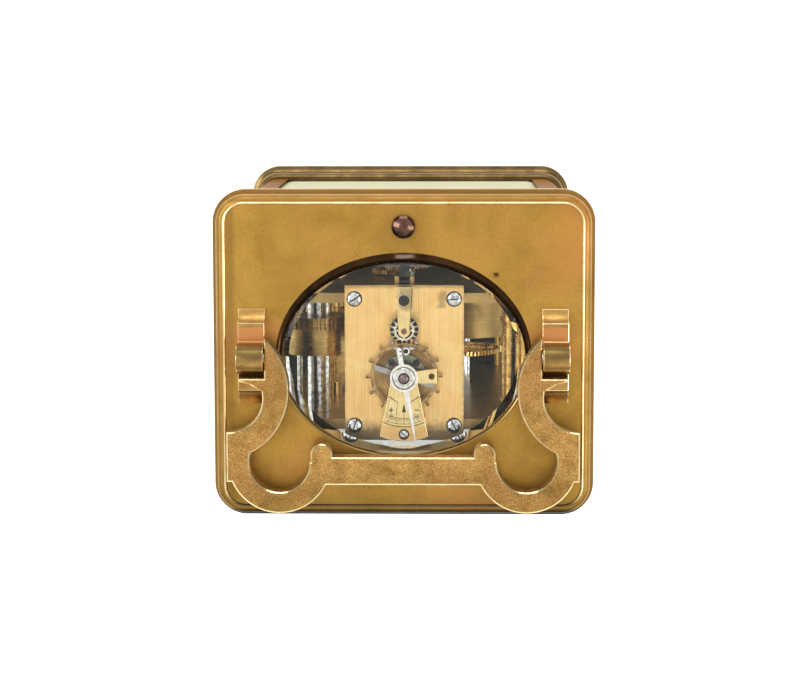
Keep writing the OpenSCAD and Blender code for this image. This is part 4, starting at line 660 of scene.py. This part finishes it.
# Painted shade: a dark line at the step of the tier
circle_line(bm, balance_at, tier_step_shade_line, bold, z0 - 0.3, z1 - 0.02, 65, 115, 24)
for i in range(-ticks_each_side, ticks_each_side + 1):
    reach = long_tick if i % 7 == 0 else middle_tick if i % 2 == 0 else short_tick
    angle = 90 + i * tick_pitch
    stroke(bm, [polar(balance_at, scale_inner, angle), polar(balance_at, reach, angle)],
           fine, z0, z1)
stroke(bm, [(bx, by + 8.4), (bx, by + 11.4)], medium, z0, z1)
plate(bm, [(bx - 0.5, by + 8.5), (bx + 0.5, by + 8.5), (bx, by + 6.3)], z0, z1)
for s in (-1, 1):
    elbow = (bx + s * 1.55, by + 6.05)
    stroke(bm, [(bx + s * 3.75, by + 4.6), elbow], bold, z0, z1)
    stroke(bm, [elbow, (bx + s * 1.95, by + 9.9)], medium, z0, z1)
    stroke(bm, [(bx + s * 3.6, by + 5.3), (bx + s * 4.3, by + 9.9)], 0.08, z0, z1)
    stroke(bm, [(bx + s * 2.6, by + 7.9), (bx + s * 3.7, by + 8.0)], heavy, z0, z1)
    for k in range(4):
        drift, lift = 0.1 * k, 0.22 * k
        stroke(bm, [(bx + s * (2.35 + drift), by + 9.0 + lift),
                    (bx + s * (3.75 + drift), by + 9.1 + lift)], 0.06, z0, z1)
stroke(bm, [(bx + 3.15, by + 7.35), (bx + 3.15, by + 8.55)], heavy, z0, z1)
from_bmesh("cock_engraving", bm, [M["engraving"]], body_of("balance_cock"))

# Engraved outline and a jewel on the escape cock
bm = bmesh.new()
z0, z1 = escape_top - inlay, escape_top + inlay
stroke(bm, [(-2.05, escape_at[1] - 10.6), (-1.35, escape_at[1] - 0.2)], 0.14, z0, z1)
stroke(bm, [(1.85, escape_at[1] - 5.6), (1.35, escape_at[1] - 0.2)], medium, z0, z1)
from_bmesh("escape_engraving", bm, [M["engraving"]], body_of("escape_cocks"))
bm = bmesh.new()
lathe(bm, escape_at, [(0.8, escape_top - inlay), (0.78, escape_top + 0.08),
                      (0.56, escape_top + 0.1), (0.5, escape_top + 0.04)], 32, 0)
lathe(bm, escape_at, [(0.52, escape_top + 0.02), (0.4, escape_top + 0.12),
                      (0.0, escape_top + 0.16)], 32, 1)
from_bmesh("escape_jewel", bm, [M["rim"], M["ruby"]], body_of("escape_cocks"))

# Screws of the platform and its cocks: the escape cock's is dark
bm = bmesh.new()
corner_x, corner_y0, corner_y1 = 12.3, -12.6, 18.9
corner_head, cock_head = 1.66, 1.05
corner_shank, cock_shank = 0.8, 0.7
cock_screw_y, escape_screw_y = balance_at[1] + 14.1, escape_at[1] - 7.6
for x, y, turn in ((corner_x, corner_y0, 35), (-corner_x, corner_y0, 4), (corner_x, corner_y1, 70),
                   (-corner_x, corner_y1, 120)):
    screw_head(bm, (x, y), corner_head, platform_face, turn, 0.9)
    lathe(bm, (x, y), [(0, platform_face - 6.5), (corner_shank, platform_face - 6.5),
                       (corner_shank, platform_face)], 24, 0)
for y, face, turn in ((cock_screw_y, cock_top - 0.5, 140), (escape_screw_y, escape_top, 40)):
    screw_head(bm, (0, y), cock_head, face, turn, 0.42, 0.26)
    lathe(bm, (0, y), [(0, platform_face - 1.8), (cock_shank, platform_face - 1.8),
                       (cock_shank, face)], 24, 0)
for f in bm.faces:
    centre = f.calc_center_median() / MM
    if centre.y < corner_y0 + 2.2 and abs(centre.x) < 2:
        f.material_index = 2 if f.material_index == 0 else 1
in_place_of("platform_screws", bm, ("screw", "black", "dark_steel"))

# Flat screws on the pallet cock's posts, under the balance's arms, and its jewel in a bright rim
bm = bmesh.new()
for s in (-1, 1):
    screw_head(bm, (s * 3.05, balance_at[1] - 3.35), 0.62, pallet_post_top, 60 * s, 0.045, 0.22)
jewel_at = (-0.45, 0.15)
lathe(bm, jewel_at, [(1.0, pallet_face), (0.96, pallet_face + 0.09), (0.6, pallet_face + 0.11),
                     (0.55, pallet_face + 0.06)], 40, 2)
lathe(bm, jewel_at, [(0.58, pallet_face + 0.02), (0.5, pallet_face + 0.07),
                     (0, pallet_face + 0.08)], 40, 1)
from_bmesh("pallet_cock_screws", bm, [M["dark_steel"], M["black"], M["white_steel"]],
           body_of("escape_cocks"))

# Two dots on the regulator
bm = bmesh.new()
for x, y, r in ((0.86, -0.3, 0.22), (0.72, 0.69, 0.18)):
    dot_top = regulator_high + inlay
    lathe(bm, (x, y), [(r, regulator_high - inlay), (r, dot_top), (0, dot_top)], 20)
from_bmesh("regulator_dots", bm, [M["black"]], body_of("regulator"))

# Turned sink in the platform round the balance and a dark one round the escape wheel
bm = bmesh.new()
z0, z1 = platform_face - inlay, platform_face + inlay
balance_sink, escape_sink = 7.4, 3.5
lathe(bm, balance_at, [(balance_sink, z0), (balance_sink, z1), (0, z1)], 96, 0)
for r in (2.6, 3.3, 4.0, 4.7, 5.4, 6.1, 6.8, 7.35):
    circle_line(bm, balance_at, r, 0.08, z1 - 0.01, z1 + 0.015)
for f in bm.faces:
    if f.calc_center_median().z > z1 * MM + 1e-6:
        f.material_index = 1
from_bmesh("balance_sink", bm, [M["sink"], M["engraving"]], body_of("platform"))
bm = bmesh.new()
lathe(bm, escape_at, [(escape_sink, z0 + 0.01), (escape_sink, z1 + 0.01), (0, z1 + 0.01)], 64, 0)
from_bmesh("escape_sink", bm, [M["dark_steel"]], body_of("platform"))


def rounded_ring(half_x, half_y, radius, steps=12):
    """Points round a rectangle with rounded corners, in millimetres."""
    points = []
    for cx, cy, start in ((1, 1, 0), (-1, 1, 90), (-1, -1, 180), (1, -1, 270)):
        centre = (cx * (half_x - radius), cy * (half_y - radius))
        points += arc(centre, radius, start, start + 90, steps)
    return points


def swept(bm, ring, section, widths=None):
    """A closed moulding: section is (outward, height) pairs carried round a closed plan.

    widths: how much the section is widened at each point of the plan
    """
    count = len(ring)
    rows = []
    for i, (x, y) in enumerate(ring):
        a, b = ring[i - 1], ring[(i + 1) % count]
        out = Vector((b[1] - a[1], a[0] - b[0])).normalized()
        out *= widths[i] if widths else 1.0
        rows.append([bm.verts.new(((x + out.x * d) * MM, (y + out.y * d) * MM, h * MM))
                     for d, h in section])
    for i in range(count):
        j = (i + 1) % count
        for k in range(len(section)):
            m = (k + 1) % len(section)
            bm.faces.new((rows[i][k], rows[j][k], rows[j][m], rows[i][m]))


# Polished bead round the top panel
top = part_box("top_frame")[1] / MM
case_corner, panel_border, bead_inset, bead_radius = 8, 2.7, 0.35, 0.37
border = panel_border + bead_inset
bead = [polar((0, top.z - 0.33), bead_radius, t) for t in range(0, 360, 30)]
bm = bmesh.new()
swept(bm, rounded_ring(top.x - border, top.y - border, case_corner - border), bead)
from_bmesh("panel_bead", bm, [M["bead"]], body_of("top_frame"), smooth=True)

# Lip of the oval window, wider at the front: its brass painted dark as shade, lighter at the rear,
# with a painted highlight at the front centre
window_x, window_y, lip_clearance = 31.0, 25.0, 0.02
panel_z = top.z - bead_inset
oval = [((window_x - lip_clearance) * math.cos(math.radians(t)),
         (window_y - lip_clearance) * math.sin(math.radians(t))) for t in range(0, 360, 3)]
lip = [(0.0, panel_z - 2.2), (0.0, panel_z - 0.02), (-0.16, panel_z + 0.03), (-0.5, panel_z - 0.08),
       (-1.0, panel_z - 0.5), (-1.3, panel_z - 1.3), (-1.32, panel_z - 2.2)]
least_width, gained_width, gain_power = 0.55, 1.5, 1.4
lip_widths = [least_width + gained_width * ((1 - y / window_y) / 2) ** gain_power for x, y in oval]
bm = bmesh.new()
swept(bm, oval, lip, lip_widths)
from_bmesh("window_lip", bm, [M["lip"]], body_of("top_frame"), smooth=True)


# Numerals and minute track on the dial, in the plane of x and z
marks = bmesh.new()
mark_back, mark_front = dial_face + inlay, dial_face - 0.03
numeral_radius, numeral_height = 18.4, 4.2
stem, thick, thin, serif = 0.6, 0.62, 0.22, 0.2
glyph_widths = {"I": 1.0, "V": 2.3, "X": 2.3}
track_radius, track_inner, track_outer = 22.6, 21.9, 23.3
hours = ["I", "II", "III", "IIII", "V", "VI", "VII", "VIII", "IX", "X", "XI", "XII"]


def mark(outline):
    """A flat black mark of an outline on the dial's face."""
    near, far = ([marks.verts.new((x * MM, y * MM, z * MM)) for x, z in outline]
                 for y in (mark_front, mark_back))
    prism(marks, near, far)


def radial(angle, radius, outline):
    """An outline about a point at an angle and radius, its up pointing outward."""
    a = math.radians(angle)
    ux, uz = math.cos(a), math.sin(a)
    rx, rz = uz, -ux
    mark([(dial_at[0] + ux * (radius + v) + rx * u, dial_at[1] + uz * (radius + v) + rz * u)
          for u, v in outline])


def bar(angle, u0, u1, width):
    """A stroke of a numeral from its foot at u0 to its head at u1."""
    w, h = width / 2, numeral_height / 2
    radial(angle, numeral_radius, [(u0 - w, -h), (u0 + w, -h), (u1 + w, h), (u1 - w, h)])


for hour, numeral in enumerate(hours, 1):
    angle = 90 - 30 * hour
    u = -sum(glyph_widths[g] for g in numeral) / 2
    for g in numeral:
        w = glyph_widths[g]
        m = u + w / 2
        if g == "I":
            bar(angle, m, m, stem)
        elif g == "V":
            bar(angle, m, m - 0.85, thick)
            bar(angle, m, m + 0.85, thin)
        else:
            bar(angle, m + 0.8, m - 0.8, thick)
            bar(angle, m - 0.8, m + 0.8, thin)
        reach, half = w * 0.42, serif / 2
        for end in (-1, 1):
            radial(angle, numeral_radius + end * (numeral_height / 2),
                   [(m - reach, -half), (m + reach, -half), (m + reach, half), (m - reach, half)])
        u += w
for minute in range(60):
    half = 0.24 if minute % 5 == 0 else 0.09
    radial(6 * minute, track_radius, [(-half, -0.65), (half, -0.65), (half, 0.65), (-half, 0.65)])
for radius in (track_inner, track_outer):
    for i in range(120):
        a0, a1, r0, r1 = 3 * i, 3 * i + 3, radius - 0.05, radius + 0.05
        mark([polar(dial_at, r0, a0), polar(dial_at, r1, a0), polar(dial_at, r1, a1),
              polar(dial_at, r0, a1)])
from_bmesh("dial_marks", marks, [M["black"]], body_of("dial"))

# Pale floor that shows white and keeps its shadow
floor_reach = 3.0
corners = [(x * floor_reach, y * floor_reach, 0) for x, y in ((-1, -1), (1, -1), (1, 1), (-1, 1))]
bm = bmesh.new()
bm.faces.new([bm.verts.new(p) for p in corners])
mesh = bpy.data.meshes.new("floor")
bm.to_mesh(mesh)
bm.free()
floor = bpy.data.objects.new("floor", mesh)
scene.collection.objects.link(floor)
n = Nodes("pale_floor")
matte = n.add("ShaderNodeBsdfDiffuse")
matte.inputs["Color"].default_value = (0.86, 0.86, 0.85, 1)
glow = n.add("ShaderNodeEmission")
glow.inputs["Color"].default_value = WHITE
glow_strength = 0.72
path = n.add("ShaderNodeLightPath")
seen = n.largest(path.outputs["Is Camera Ray"], path.outputs["Is Glossy Ray"],
                 path.outputs["Is Transmission Ray"])
n.link(n.math("MULTIPLY", seen, glow_strength), glow.inputs["Strength"])
both = n.add("ShaderNodeAddShader")
n.link(matte.outputs[0], both.inputs[0])
n.link(glow.outputs[0], both.inputs[1])
floor.data.materials.append(n.done(both))

# Studio world: bright overhead and at the horizon, darker between, white where the camera sees it
world = bpy.data.worlds.new("studio")
scene.world = world
world.use_nodes = True
studio = world.node_tree
studio.nodes.clear()
coord = studio.nodes.new("ShaderNodeTexCoord")
split = studio.nodes.new("ShaderNodeSeparateXYZ")
levels = studio.nodes.new("ShaderNodeValToRGB")
for i, (at, level) in enumerate(((0.0, 0.95), (0.12, 0.85), (0.24, 0.2), (0.42, 0.3), (0.58, 1.1),
                                 (0.85, 1.12), (0.97, 0.95))):
    elements = levels.color_ramp.elements
    stop = elements[i] if i < 2 else elements.new(at)
    stop.position = at
    stop.color = (level, level * 0.99, level * 0.97, 1)
around = studio.nodes.new("ShaderNodeBackground")
white = studio.nodes.new("ShaderNodeBackground")
white.inputs["Color"].default_value = WHITE
path = studio.nodes.new("ShaderNodeLightPath")
out = studio.nodes.new("ShaderNodeOutputWorld")
studio.links.new(coord.outputs["Generated"], split.inputs[0])
studio.links.new(split.outputs["Z"], levels.inputs["Fac"])
studio.links.new(levels.outputs["Color"], around.inputs["Color"])
seen_world = blend(studio, path.outputs["Is Camera Ray"], around, white)
studio.links.new(seen_world.outputs[0], out.inputs["Surface"])


lamp_aim = Vector((0, 0, 0.08))


def lamp(name, place, size, power):
    """A softbox that is turned to the clock."""
    data = bpy.data.lights.new(name, "AREA")
    data.shape = "RECTANGLE"
    data.size, data.size_y = size
    data.energy = power
    obj = bpy.data.objects.new(name, data)
    scene.collection.objects.link(obj)
    obj.location = place
    obj.rotation_euler = (lamp_aim - Vector(place)).to_track_quat("-Z", "Y").to_euler()


lamp("softbox_left", (0.85, -0.25, 0.95), (0.5, 0.9), 5.5)
lamp("softbox_right", (-0.85, 0.15, 0.85), (0.4, 0.8), 3.5)
lamp("softbox_front", (0.0, -1.1, 0.7), (0.9, 0.4), 4.0)

# Camera over the top, as in the photograph
camera_data = bpy.data.cameras.new("camera")
camera = bpy.data.objects.new("camera", camera_data)
scene.collection.objects.link(camera)
camera_data.sensor_fit = "HORIZONTAL"
camera_data.sensor_width = 36.0
camera_data.lens = 103.222
camera_data.clip_start = 0.01
camera_data.clip_end = 20
right = Vector((-0.99983, 0.00129, -0.01822))
up = Vector((0.00089, -0.99284, -0.11947))
back = Vector((-0.01825, -0.11947, 0.99267))
placed = Matrix((right, up, back)).transposed().to_4x4()
placed.translation = (-0.0093, -0.07086, 0.6831)
camera.matrix_world = placed
scene.camera = camera
scene.view_settings.view_transform = "Standard"
